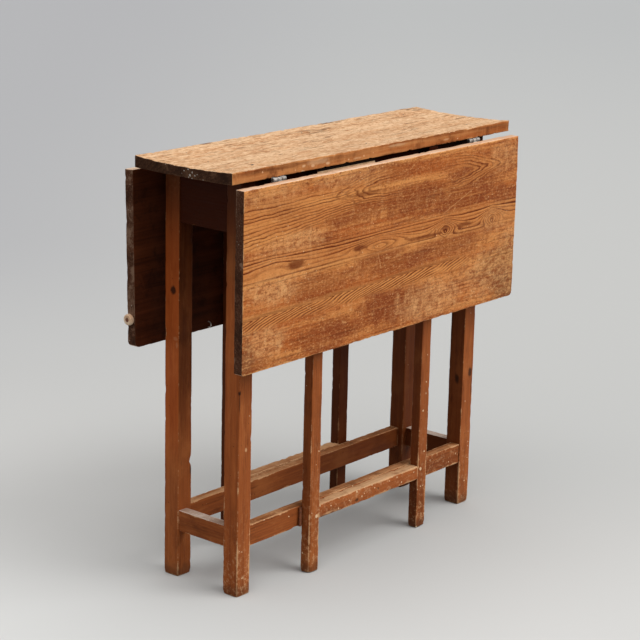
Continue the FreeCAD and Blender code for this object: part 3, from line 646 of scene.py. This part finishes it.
hingeIron = ironFinish("hingeIron", ironLook, 0.35)
stainedIron = ironFinish("stainedIron", stainedLook, 0.1)
wireIron = ironFinish("wireIron", dict(ironLook, dark=(150, 140, 130), body=(206, 200, 192)), 0.2)
nailIron = ironFinish("nailIron", dict(ironLook, body=(64, 56, 50), bright=(96, 84, 74)), 0.5, 0.6)
print("finishes made:", len(bpy.data.materials))


# boards: arris, chips and waves, how far over a face an arris is rubbed and chipped, how thin a face's skin is
boardWear = {"arris": 0.0010, "chip": 0.0018, "chipFrom": 0.3, "chipScale": 95.0, "round": 0.0005, "wave": 0.0003,
             "waveScale": 14.0, "step": 0.006, "coarse": 0.05, "rubReach": 0.007, "chipReach": 0.006, "skin": 0.002}


def boardBlock(low, high, arris, step, support=(0.0025, 0.008)):
    # a bevelled block with loops close to its arrises and evenly over its faces
    mesh = bmesh.new()
    bmesh.ops.create_cube(mesh, size=1.0)
    bmesh.ops.scale(mesh, vec=high - low, verts=mesh.verts)
    bmesh.ops.translate(mesh, vec=(low + high) / 2, verts=mesh.verts)
    bmesh.ops.bevel(mesh, geom=mesh.edges[:], offset=arris, offset_type="OFFSET", segments=2, profile=0.5,
                    affect="EDGES", material=-1)
    for axis in range(3):
        length = high[axis] - low[axis]
        cuts = [arris + gap for gap in support if (arris + gap) * 2.2 < length]
        places = [low[axis] + cut for cut in cuts] + [high[axis] - cut for cut in cuts]
        inner = max(cuts) if cuts else arris
        count = int((length - 2 * inner) / step[axis])
        places += [low[axis] + inner + (length - 2 * inner) * number / (count + 1) for number in range(1, count + 1)]
        normal = Vector((0, 0, 0))
        normal[axis] = 1
        for spot in places:
            bmesh.ops.bisect_plane(mesh, geom=mesh.verts[:] + mesh.edges[:] + mesh.faces[:], dist=1e-7,
                                   plane_co=normal * spot, plane_no=normal)
    return mesh


def sides(point, low, high):
    # distance to the nearest face along each axis, nearest first, with the way inwards
    found = []
    for axis in range(3):
        near = point[axis] - low[axis]
        far = high[axis] - point[axis]
        found.append((near, axis, 1.0) if near < far else (far, axis, -1.0))
    return sorted(found)


def tagBoard(mesh, low, high, along, across, shift, worn, paintedShade=0.0):
    # along, across and deep coordinates for the grain, closeness to the nearest arris, wear and painted shade (below
    # 0 painted light)
    deep = 3 - along - across
    grain = mesh.verts.layers.float_vector.new("grain")
    edge = mesh.verts.layers.float.new("edge")
    wear = mesh.verts.layers.float.new("worn")
    dark = mesh.verts.layers.float.new("paintedShade")
    middle = (low + high) / 2
    for vert in mesh.verts:
        off = vert.co - middle
        vert[grain] = Vector((off[along], off[across], off[deep])) + Vector(shift)
        gaps = sides(vert.co, low, high)
        vert[edge] = max(0.0, 1.0 - gaps[1][0] / boardWear["rubReach"])
        vert[wear] = worn(vert.co) if callable(worn) else worn
        vert[dark] = paintedShade(vert.co - low) if callable(paintedShade) else paintedShade


def wearBoard(mesh, low, high, look, seed):
    # chipped arrises and slightly uneven faces, all cut into the wood
    for vert in mesh.verts:
        gaps = sides(vert.co, low, high)
        spot = vert.co + Vector((seed, seed * 0.7, 0))
        closeness = max(0.0, 1.0 - gaps[1][0] / look["chipReach"])
        fine = max(0.0, noise.noise(spot * look["chipScale"]) - look["chipFrom"])
        broad = max(0.0, noise.noise(spot * look["chipScale"] * 0.24) + 0.1)
        cut = (fine * look["chip"] + broad * look["round"]) * closeness
        wave = (noise.noise(vert.co * look["waveScale"] + Vector((0, seed, 3))) - 1.0) * 0.5 * look["wave"]
        for gap, axis, way in gaps[:2]:
            if gap < look["chipReach"]:
                vert.co[axis] += way * cut
        gap, axis, way = gaps[0]
        if gap < look["skin"]:
            vert.co[axis] -= way * wave


def cutNotches(mesh, low, high, rows):
    # single larger chips: place, reach and depth in millimetres
    for x, y, z, reach, depth in rows:
        spot = Vector((x, y, z)) * mm
        for vert in mesh.verts:
            near = 1.0 - (vert.co - spot).length / (reach * mm)
            if near <= 0:
                continue
            for gap, axis, way in sides(vert.co, low, high)[:2]:
                if gap < boardWear["chipReach"]:
                    vert.co[axis] += way * depth * mm * near * (0.7 + 0.6 * noise.noise(vert.co * 140))


def finishBoard(name, mesh, body, nodes, materials, pick):
    mesh.normal_update()
    for face in mesh.faces:
        face.material_index = pick(face.normal, face.calc_center_median())
        face.smooth = True
    data = bpy.data.meshes.new(name)
    mesh.to_mesh(data)
    mesh.free()
    for material in materials:
        data.materials.append(material)
    piece = bpy.data.objects.new(name, data)
    bpy.context.scene.collection.objects.link(piece)
    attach(piece, body)
    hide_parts(*nodes)
    return piece


# single chips by node: place, reach and depth in millimetres
notches = {"leg_far_left": [(-288.5, 52, 203, 11, 3.0)], "stretcher_near": [(-170, -82, 83, 12, 3.0)],
           "stretcher_left": [(-318, -12, 120, 14, 1.6), (-318, 18, 120, 10, 1.2)],
           "gate_lower_rail_near": [(-118, -103.5, 95, 20, 3.2), (-95, -103.5, 95, 12, 1.8)],
           "leg_near_right": [(301.5, -84, 300, 9, 1.4)], "gate_pivot_post_near": [(-158.5, -103.5, 330, 12, 1.3)],
           "table_top": [(-247, -107, 726, 24, 1.8), (-318, -107, 726, 14, 1.0), (-172, -107, 726, 16, 1.0),
                         (-88, -107, 726, 20, 1.1), (20, -107, 726, 16, 1.0), (128, -107, 726, 22, 1.2),
                         (205, -107, 726, 14, 1.1), (256, -107, 726, 20, 1.5), (330, -107, 726, 12, 0.9)]}


def frameBoard(node, body, along, across, low=None, high=None, shape=None, wear=None, seed=0.0, worn=0.15, paintedShade=0.0,
               woods=None):
    boxLow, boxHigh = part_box(node)
    low = boxLow if low is None else low
    high = boxHigh if high is None else high
    look = dict(boardWear, **(wear or {}))
    steps = [look["coarse"]] * 3
    steps[along] = look["step"]
    mesh = boardBlock(low, high, look["arris"], steps)
    tagBoard(mesh, low, high, along, across, (seed * 1.31, seed * 0.37, seed * 0.11), worn, paintedShade)
    wearBoard(mesh, low, high, look, seed)
    cutNotches(mesh, low, high, notches.get(node, []))
    if shape:
        shape(mesh, low, high)

    def pick(normal, centre):
        if abs(normal[along]) > 0.8 and min(centre[along] - low[along], high[along] - centre[along]) < look["skin"]:
            return 1
        return 2 if along != 2 and normal.z > 0.7 else 0
    return finishBoard(node + "_board", mesh, body, [node], woods or [framePine, footEnd, railTop], pick)


whittling = {"depth": 0.0032, "top": 0.17, "fade": 0.06}


def wornFoot(reach, depth, seed, whittled=False):
    # the last stretch above the floor has lost its corners; a whittled post also has its outer arris cut away
    near, cut = boardWear["chipReach"], whittling

    def shape(mesh, low, high):
        middle = (low + high) / 2
        for vert in mesh.verts:
            gaps = sides(Vector((vert.co.x, vert.co.y, middle.z)), low, high)
            drop = max(0.0, 1.0 - (vert.co.z - low.z) / reach)
            corner = max(0.0, 1.0 - gaps[1][0] / boardWear["rubReach"])
            amount = depth * drop * (0.25 + corner) * (0.75 + noise.noise(vert.co * 60 + Vector((seed, 0, 0))))
            outer = vert.co.x - low.x < near and vert.co.y - low.y < near
            if whittled and outer and vert.co.z < cut["top"]:
                amount += cut["depth"] * min(1.0, (cut["top"] - vert.co.z) / cut["fade"]) * corner
            for gap, axis, way in gaps[:2]:
                if gap < boardWear["rubReach"]:
                    vert.co[axis] += way * amount
    return shape


def ease(value, low, high):
    rise = min(1.0, max(0.0, (value - low) / (high - low)))  # low may be above high
    return rise * rise * (3 - 2 * rise)


# how much painted shade a board gets at a place, measured from its low corner; below 0 is painted light, brighter
# and redder
faceSkin = 0.0008


def nearLeftShade(off):
    return 0.55 * ease(off.z, 0.5, 0.68) - (0.1 if off.x < faceSkin else 0.0)


def nearRightShade(off):
    return 0.5 if off.x < faceSkin else 0.0


def farLeftShade(off):
    if off.y < faceSkin:
        return 0.28 * ease(off.z, 0.2, 0.5)
    return -0.35 * ease(off.z, 0.15, 0.3) * ease(off.z, 0.7, 0.5)


def farRailShade(off):
    return 0.26 + 0.3 * ease(off.x, 0.15, 0.45)


# painted shade on each leg: near the top, on faces turned inwards, and all over the far right leg; the left legs'
# outer faces get some painted light
legLook = {"topRise": 0.0025, "footReach": 0.008, "footDepth": 0.0012, "farWear": 0.08,
           "paintedShades": {"near_left": nearLeftShade, "near_right": nearRightShade, "far_left": farLeftShade,
                     "far_right": 0.6}}


def makeLegs():
    look = legLook
    for number, corner in enumerate(("near_left", "near_right", "far_left", "far_right")):
        low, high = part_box("leg_" + corner)
        high = Vector((high.x, high.y, high.z + look["topRise"]))
        lowWear = (lambda spot: max(0.05, 0.85 - spot.z * 4.5)) if corner.startswith("near") else look["farWear"]
        frameBoard("leg_" + corner, "frame", 2, 0, low, high,
                   wornFoot(look["footReach"], look["footDepth"], number * 3.3), seed=number + 1.0, worn=lowWear,
                   paintedShade=look["paintedShades"][corner])


# painted shade on the stretchers and aprons by side, darkest on the right and towards the far right
railLook = {"firstSeed": 7.0, "seedStep": 1.7, "farWear": 0.12,
            "paintedShades": {"near": 0.2, "far": farRailShade, "left": 0.1, "right": 0.75}}


def makeRails():
    look = railLook
    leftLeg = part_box("leg_near_left")
    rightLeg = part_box("leg_near_right")
    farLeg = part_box("leg_far_left")
    seed = look["firstSeed"]
    for kind in ("stretcher", "apron"):
        # aprons take the darker copy: painted shade under the top
        woods = [shadePine] * 3 if kind == "apron" else [framePine, footEnd, brownTop]
        for side in ("near", "far"):
            low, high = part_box(f"{kind}_{side}")
            low.x, high.x = leftLeg[1].x - mm, rightLeg[0].x + mm
            worn = (lambda spot: min(0.9, max(0.1, spot.x * 4.0))) if side == "near" else look["farWear"]
            frameBoard(f"{kind}_{side}", "frame", 0, 2, low, high, seed=seed, worn=worn, paintedShade=look["paintedShades"][side],
                       woods=woods)
            seed += look["seedStep"]
        for side in ("left", "right"):
            low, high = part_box(f"{kind}_{side}")
            low.y, high.y = leftLeg[1].y - mm, farLeg[0].y + mm
            if (kind, side) == ("stretcher", "left"):
                woods = [framePine, footEnd, greyTop]
            frameBoard(f"{kind}_{side}", "frame", 1, 2, low, high, seed=seed, paintedShade=look["paintedShades"][side], woods=woods)
            seed += look["seedStep"]


gateLook = {"deeper": 0.0022, "shaded": (0.6, 0.67), "footReach": 0.007, "footDepth": 0.0007,
            "railWear": {"chip": 0.0036, "chipFrom": 0.15}, "railShades": {"near": 0.0, "far": 0.4}, "upperWear": 0.1,
            # by side: first seed and wear
            "sides": {"near": (21.0, 0.9), "far": (31.0, 0.2)},
            # painted shade on the face along -X, and on the other faces
            "paintedShades": {("near", "pivot"): (0.3, 0.0), ("near", "free"): (0.5, 0.08), ("far", "pivot"): (0.8, 0.8),
                      ("far", "free"): (0.8, 0.8)}}


def postShade(side, post):  # painted shade near the top, in the table's shadow, and on faces turned inwards
    facing, rest = gateLook["paintedShades"][side, post]
    return lambda off: max(facing if off.x < faceSkin else rest, ease(off.z, *gateLook["shaded"]))


def makeGates():
    look = gateLook
    for side, (seed, worn) in look["sides"].items():
        body = f"gate_{side}"
        posts = [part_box(f"gate_{post}_post_{side}") for post in ("pivot", "free")]
        posts.sort(key=lambda box: box[0].x)
        for number, post in enumerate(("pivot", "free")):
            foot = wornFoot(look["footReach"], look["footDepth"], seed + number, (side, post) == ("near", "pivot"))
            frameBoard(f"gate_{post}_post_{side}", body, 2, 0, seed=seed + number, shape=foot,
                       worn=lambda spot, top=worn: top * min(1.0, max(0.12, 1.1 - spot.z * 3.6)),
                       paintedShade=postShade(side, post))
        for number, level in enumerate(("lower", "upper")):
            low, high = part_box(f"gate_{level}_rail_{side}")
            low.x, high.x = posts[0][1].x - mm, posts[1][0].x + mm
            if side == "near":
                high.y += look["deeper"]
            else:
                low.y -= look["deeper"]
            frameBoard(f"gate_{level}_rail_{side}", body, 0, 2, low, high, wear=look["railWear"],
                       seed=seed + 3 + number, worn=worn if level == "lower" else look["upperWear"],
                       paintedShade=look["railShades"][side])
        # the block's ends are painted shade, and its upper edge carries the top's painted shadow
        frameBoard(f"gate_block_{side}", "frame", 0, 2, seed=seed + 6,
                   woods=[palePine, shadePine, palePine])


makeLegs()
makeRails()
makeGates()
print("frame and gates made")


topBoard = {"cup": 0.004, "underCup": 0.0016, "arris": 0.0011, "relief": 0.0008, "step": 0.0036,
            "seed": 4.0, "worn": 0.3, "grain": (2.3, 0.2, 0.0), "skin": 0.004, "hollows": (42, 100),
            "wear": {"chip": 0.0030, "chipFrom": 0.22, "chipScale": 110.0, "round": 0.0005, "wave": 0.0003}}


def makeTop():
    look = topBoard
    low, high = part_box("table_top")
    high = Vector((high.x, high.y, high.z - look["cup"]))
    mesh = boardBlock(low, high, look["arris"], (look["step"], look["step"], boardWear["coarse"]))
    tagBoard(mesh, low, high, 0, 1, look["grain"], look["worn"])
    wearBoard(mesh, low, high, dict(boardWear, **look["wear"]), look["seed"])
    cutNotches(mesh, low, high, notches["table_top"])
    half = (high.y - low.y) / 2
    for vert in mesh.verts:
        if vert.co.z > high.z - look["skin"]:  # the soft early wood has worn away in hollows
            spot = Vector((vert.co.x * look["hollows"][0], vert.co.y * look["hollows"][1], 2.0))
            hollow = noise.noise(spot) + 0.5 * noise.noise(spot * 2.1)
            vert.co.z -= look["relief"] * max(0.0, 0.45 + hollow)
        share = min(1.0, max(0.0, (vert.co.z - low.z) / (high.z - low.z)))
        vert.co.z += (look["underCup"] + (look["cup"] - look["underCup"]) * share) * (vert.co.y / half) ** 2

    def pick(normal, centre):
        if abs(normal.x) > 0.7:
            return 2
        if abs(normal.y) > 0.7:
            return 1
        return 0 if normal.z > 0 else 3
    finishBoard("table_top_board", mesh, "frame", ["table_top"],
                [topFace, topEdge, topEnd, topUnder], pick)


makeTop()


leafBoard = {"arris": 0.0012, "step": 0.006, "lean": 1.2, "corners": (0.006, 0.012), "pin": (0.107, 0.706),
             "worn": 0.3, "seeds": {"near": 5.0, "far": 9.0}, "width": 0.3, "farDepth": 0.5,
             "wear": {"chip": 0.002, "chipFrom": 0.2, "round": 0.0009, "wave": 0.0005}}


def makeLeaf(side):
    look = leafBoard
    low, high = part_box("leaf_near")
    middle = (low + high) / 2
    mesh = boardBlock(low, high, look["arris"], (look["step"], boardWear["coarse"], look["step"]))
    tagBoard(mesh, low, high, 0, 2, (0, 0, 0), look["worn"])
    grain = mesh.verts.layers.float_vector["grain"]
    # across runs from the hinge edge down; the far leaf is the same plank turned end for end
    for vert in mesh.verts:
        down = high.z - vert.co.z
        if side == "near":
            vert[grain] = (vert[grain].x, down, vert[grain].z)
        else:
            vert[grain] = (-vert[grain].x, look["width"] - down, look["farDepth"])
    wearBoard(mesh, low, high, dict(boardWear, **look["wear"]), look["seeds"][side])
    for vert in mesh.verts:  # rounded lower corners
        corner = look["corners"][1 if vert.co.x > middle.x else 0]
        out = max(0.0, abs(vert.co.x - middle.x) - (high.x - middle.x - corner))
        down = max(0.0, low.z + corner - vert.co.z)
        reach = math.hypot(out, down)
        if out and down and reach > corner:
            squeeze = 1 - corner / reach
            vert.co.x -= math.copysign(out * squeeze, vert.co.x - middle.x)
            vert.co.z += down * squeeze
    outward = -1.0
    if side == "far":
        pin = Vector((middle.x, *look["pin"]))
        turn = Matrix.Rotation(math.pi, 3, "Z")
        lean = Matrix.Rotation(-math.radians(look["lean"]), 3, "X")
        bmesh.ops.rotate(mesh, cent=Vector((middle.x, 0, 0)), matrix=turn, verts=mesh.verts)
        bmesh.ops.rotate(mesh, cent=pin, matrix=lean, verts=mesh.verts)
        outward = 1.0

    def pick(normal, centre):
        if abs(normal.x) > 0.7:
            return 3
        if abs(normal.z) > 0.7:
            return 2
        return 0 if normal.y * outward > 0 else 1
    return finishBoard(f"leaf_{side}_board", mesh, f"leaf_{side}", [f"leaf_{side}"],
                       [leafFace, leafInsideShaded, leafEdge, leafEnd], pick)


makeLeaf("near")
makeLeaf("far")
print("top and leaves made")


# turned knob: half profile as reach from the leaf and radius, in millimetres
knobLook = {"profile": [(0, 0.1), (0, 6.4), (1.2, 6.6), (2.0, 8.4), (3.2, 9.5), (4.6, 9.7), (5.2, 9.1), (5.8, 9.5),
                        (7.6, 9.2), (8.9, 8.2), (9.5, 6.9), (9.2, 6.2), (9.6, 5.4), (9.4, 3.6), (8.6, 2.9),
                        (5.4, 2.7), (5.2, 0.1)],
            "steps": 40, "bore": 0.0030}
knobPine = plainFinish("knobPine", (206, 160, 122), (246, 214, 180), (255, 238, 214), 0.04, 0.45)
boreDark = plainFinish("boreDark", (52, 30, 18), (84, 54, 32), (116, 80, 50), 0.0, 0.2)


def makeKnob():
    look = knobLook
    low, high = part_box("knob")
    axis = (low + high) / 2
    mesh = bmesh.new()
    verts = [mesh.verts.new((high.x - reach * mm, axis.y, axis.z + radius * mm))
             for reach, radius in look["profile"]]
    for first, second in zip(verts, verts[1:]):
        mesh.edges.new((first, second))
    bmesh.ops.spin(mesh, geom=mesh.verts[:] + mesh.edges[:], cent=axis, axis=(1, 0, 0), angle=math.tau,
                   steps=look["steps"], use_merge=True)
    bmesh.ops.remove_doubles(mesh, verts=mesh.verts, dist=1e-5)
    bmesh.ops.holes_fill(mesh, edges=mesh.edges[:], sides=0)
    bmesh.ops.recalc_face_normals(mesh, faces=mesh.faces)
    grain = mesh.verts.layers.float_vector.new("grain")
    mesh.verts.layers.float.new("edge")
    for vert in mesh.verts:
        off = vert.co - axis
        vert[grain] = (off.x, off.y * 0.5, off.z * 0.5 + 3.0)
    finishBoard("knob_turned", mesh, "leaf_far", ["knob"], [knobPine, boreDark],
                lambda normal, centre: 1 if math.hypot(centre.y - axis.y, centre.z - axis.z) < look["bore"] else 0)


makeKnob()


# nail heads in the top: one shows, the rest were punched in and filled
nailLook = {"shown": 0.0026, "filled": 0.0014, "sink": 0.0004, "flatness": 0.25, "middle": 0.0065, "half": 0.107,
            "along": (-0.29, 0.0, 0.29), "across": (-0.07225, 0.07225), "ends": (-0.31525, 0.31525)}


def makeNailHeads():
    look = nailLook
    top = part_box("table_top")[1].z - topBoard["cup"]
    spots = [(look["middle"] + x, y) for x in look["along"] for y in look["across"]]
    spots += [(look["middle"] + x, 0.0) for x in look["ends"]]
    mesh = bmesh.new()
    for number, (x, y) in enumerate(spots):
        radius = look["shown"] if number == 0 else look["filled"]
        height = top + topBoard["cup"] * (y / look["half"]) ** 2 - look["sink"]
        ball = bmesh.ops.create_uvsphere(mesh, u_segments=14, v_segments=8, radius=radius)["verts"]
        bmesh.ops.scale(mesh, vec=(1, 1, look["flatness"]), verts=ball)
        bmesh.ops.translate(mesh, vec=(x, y, height), verts=ball)
    finishBoard("top_nail_heads", mesh, "frame", ["top_nails"], [nailIron], lambda normal, centre: 0)


makeNailHeads()


# leaf hinges: rolled knuckles on thin plates
hingeLook = {"width": 0.032, "short": 0.0003, "radius": 0.0034, "length": 0.0088, "segments": 20, "strap": 0.0012,
             # plates: clear of the pin, then as far as reach, between two depths or two distances from the pin
             "room": 0.0054, "reach": 0.0298, "topPlate": (0.0020, 0.0002), "leafPlate": (0.0041, 0.0058),
             "leafStrap": 0.0055, "lap": 0.0004, "inset": 0.0001, "sharp": 0.6}


def addBox(mesh, low, high):
    made = bmesh.ops.create_cube(mesh, size=1.0)["verts"]
    low, high = Vector(map(min, low, high)), Vector(map(max, low, high))
    bmesh.ops.scale(mesh, vec=high - low, verts=made)
    bmesh.ops.translate(mesh, vec=(low + high) / 2, verts=made)


def makeHinges(side):
    look = hingeLook
    way = -1.0 if side == "near" else 1.0  # outwards
    low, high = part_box(f"top_hinge_plates_{side}")
    pinLow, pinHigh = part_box(f"leaf_hinge_pins_{side}")
    pin = (pinLow + pinHigh) / 2
    lap, inset = look["lap"], look["inset"]
    under, over = (high.z - depth for depth in look["topPlate"])
    back, front = (pin.y + way * off for off in look["leafPlate"])
    inner, outer = pin.y - way * look["radius"], pin.y + way * look["leafStrap"]
    root = pin.z - look["radius"]  # where the leaf's straps leave their knuckles
    pieces = {"top": bmesh.new(), "leaf": bmesh.new()}
    for start in (low.x, high.x - look["width"]):
        for number, kind in enumerate(("top", "leaf", "top")):
            mesh = pieces[kind]
            middle = start + (number + 0.5) * look["width"] / 3
            left, right = middle - look["length"] / 2, middle + look["length"] / 2
            turn = Matrix.Translation((middle, pin.y, pin.z)) @ Matrix.Rotation(math.pi / 2, 4, "Y")
            bmesh.ops.create_cone(mesh, cap_ends=True, segments=look["segments"], radius1=look["radius"],
                                  radius2=look["radius"], depth=look["length"], matrix=turn)
            left, right = left + inset, right - inset
            if kind == "top":
                addBox(mesh, (left, inner, pin.z), (right, inner + way * look["strap"], over))
                addBox(mesh, (left + inset, inner + way * lap, under + inset),
                       (right - inset, pin.y - way * (look["room"] + lap), over - inset))
            else:
                addBox(mesh, (left, pin.y, root), (right, outer, root + look["strap"]))
                addBox(mesh, (left + inset, back + way * inset, pin.z - look["room"] - lap),
                       (right - inset, outer - way * inset, root + lap))
        left, right = start + look["short"], start + look["width"] - look["short"]
        addBox(pieces["top"], (left, pin.y - way * look["room"], under), (right, pin.y - way * look["reach"], over))
        addBox(pieces["leaf"], (left, back, pin.z - look["reach"]), (right, front, pin.z - look["room"]))
    if side == "far":  # the far leaf hangs a little open
        bmesh.ops.rotate(pieces["leaf"], cent=pin, matrix=Matrix.Rotation(-math.radians(leafBoard["lean"]), 3, "X"),
                         verts=pieces["leaf"].verts)
    for kind, body in (("top", "frame"), ("leaf", f"leaf_{side}")):
        mesh = pieces[kind]
        for edge in mesh.edges:
            edge.smooth = edge.calc_face_angle(0.0) < look["sharp"]
        finishBoard(f"{kind}_hinge_{side}", mesh, body, [f"{kind}_hinge_plates_{side}"], [hingeIron],
                    lambda normal, centre: 0)


makeHinges("near")
makeHinges("far")


# solids that are shown as they are
for name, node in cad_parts.items():
    if node.hide_render:
        continue
    node.data.materials.clear()
    if "pegs" in name:
        finish = palePine
    elif "gate_hinge" in name or name == "knob_screw":
        finish = stainedIron
    elif "nails" in name or "leaf_hinge_pins" in name:
        finish = nailIron
    elif "staple" in name:
        finish = wireIron
    else:
        finish = hingeIron
    node.data.materials.append(finish)
print("metalwork finished")


# camera at the photograph's place
cameraLook = {"place": (-2.6519, -2.1834, 1.3202), "yaw": -50.34, "pitch": -14.94, "roll": 1.35, "lens": 113.54}


def makeCamera(look):
    yaw, pitch, roll = (math.radians(look[key]) for key in ("yaw", "pitch", "roll"))
    ahead = Vector((-math.sin(yaw) * math.cos(pitch), math.cos(yaw) * math.cos(pitch), math.sin(pitch)))
    right = ahead.cross(Vector((0, 0, 1))).normalized()
    up = right.cross(ahead)
    tilted = right * math.cos(roll) + up * math.sin(roll)
    upright = up * math.cos(roll) - right * math.sin(roll)
    data = bpy.data.cameras.new("camera")
    data.lens = look["lens"]
    data.sensor_width = 36
    data.clip_end = 100
    camera = bpy.data.objects.new("camera", data)
    bpy.context.scene.collection.objects.link(camera)
    turn = Matrix((tilted, upright, -ahead)).transposed().to_4x4()
    camera.matrix_world = Matrix.Translation(look["place"]) @ turn
    bpy.context.scene.camera = camera


makeCamera(cameraLook)


# plain studio: a pale floor painted darker with distance as painted falloff of light, with painted shade to the far
# left and painted light at the near left over the table's shadow; a wide overhead light, a front key and a weak side
# fill
studioLook = {"floor": {"near": (202, 202, 200), "middle": (186, 186, 184), "far": (174, 175, 175),
                        "lit": (224, 223, 221), "behind": (166, 166, 168), "bounce": (140, 138, 135)},
              "ahead": (0.77, 0.638), "size": 25, "world": 0.16,
              "lamps": {"overhead": {"from": (0.08, -0.1, 1.0), "angle": 80, "power": 2.05},
                        "key": {"from": (0.35, -1.0, 0.8), "angle": 46, "power": 1.65},
                        "fill": {"from": (-1.0, -0.2, 0.9), "angle": 60, "power": 0.5}}}


def makeStudio(look):
    mesh = bmesh.new()
    bmesh.ops.create_grid(mesh, x_segments=1, y_segments=1, size=look["size"])
    data = bpy.data.meshes.new("floor")
    mesh.to_mesh(data)
    mesh.free()
    floor = bpy.data.objects.new("floor", data)
    bpy.context.scene.collection.objects.link(floor)
    finish = Finish("studioFloor", look["floor"], 0.9, 0.0)
    x, y, z = axes(finish.position)
    ahead = x * look["ahead"][0] + y * look["ahead"][1]
    aside = x * look["ahead"][1] - y * look["ahead"][0]
    finish.start(band(ahead, -0.7, 0.5), "near", "middle")
    finish.vary(ahead, (0.8, 9.0, 1.0, "far"))
    # painted shade to the far left, and painted light at the near left where the table's shadow falls
    finish.over(band(aside, 0.6, -1.4, 0.0, 0.9) * band(ahead, 0.2, 2.5), "behind")
    finish.over(band(aside, -0.05, -0.7, 0.0, 0.3) * band(ahead, 1.1, 0.2), "lit")
    # the pale floor is for the eye; what it throws back on the table is dimmer
    path = finish.tree.nodes.new("ShaderNodeLightPath").outputs
    seen = largest(*(Wire(path[ray]) for ray in ("Is Camera Ray", "Is Glossy Ray", "Is Transmission Ray")))
    finish.base = mixColour(seen, paint(*look["floor"]["bounce"]), finish.base)
    data.materials.append(finish.done())
    for name, lamp in look["lamps"].items():
        light = bpy.data.lights.new(name, "SUN")
        light.energy = lamp["power"]
        light.angle = math.radians(lamp["angle"])
        holder = bpy.data.objects.new(name, light)
        bpy.context.scene.collection.objects.link(holder)
        holder.rotation_mode = "QUATERNION"
        holder.rotation_quaternion = Vector(lamp["from"]).to_track_quat("Z", "Y")
    world = bpy.data.worlds.new("studio")
    bpy.context.scene.world = world
    world.use_nodes = True
    world.node_tree.nodes["Background"].inputs["Color"].default_value = (1, 1, 1, 1)
    world.node_tree.nodes["Background"].inputs["Strength"].default_value = look["world"]


makeStudio(studioLook)
bpy.context.scene.view_settings.view_transform = "Standard"
print("camera and studio made")
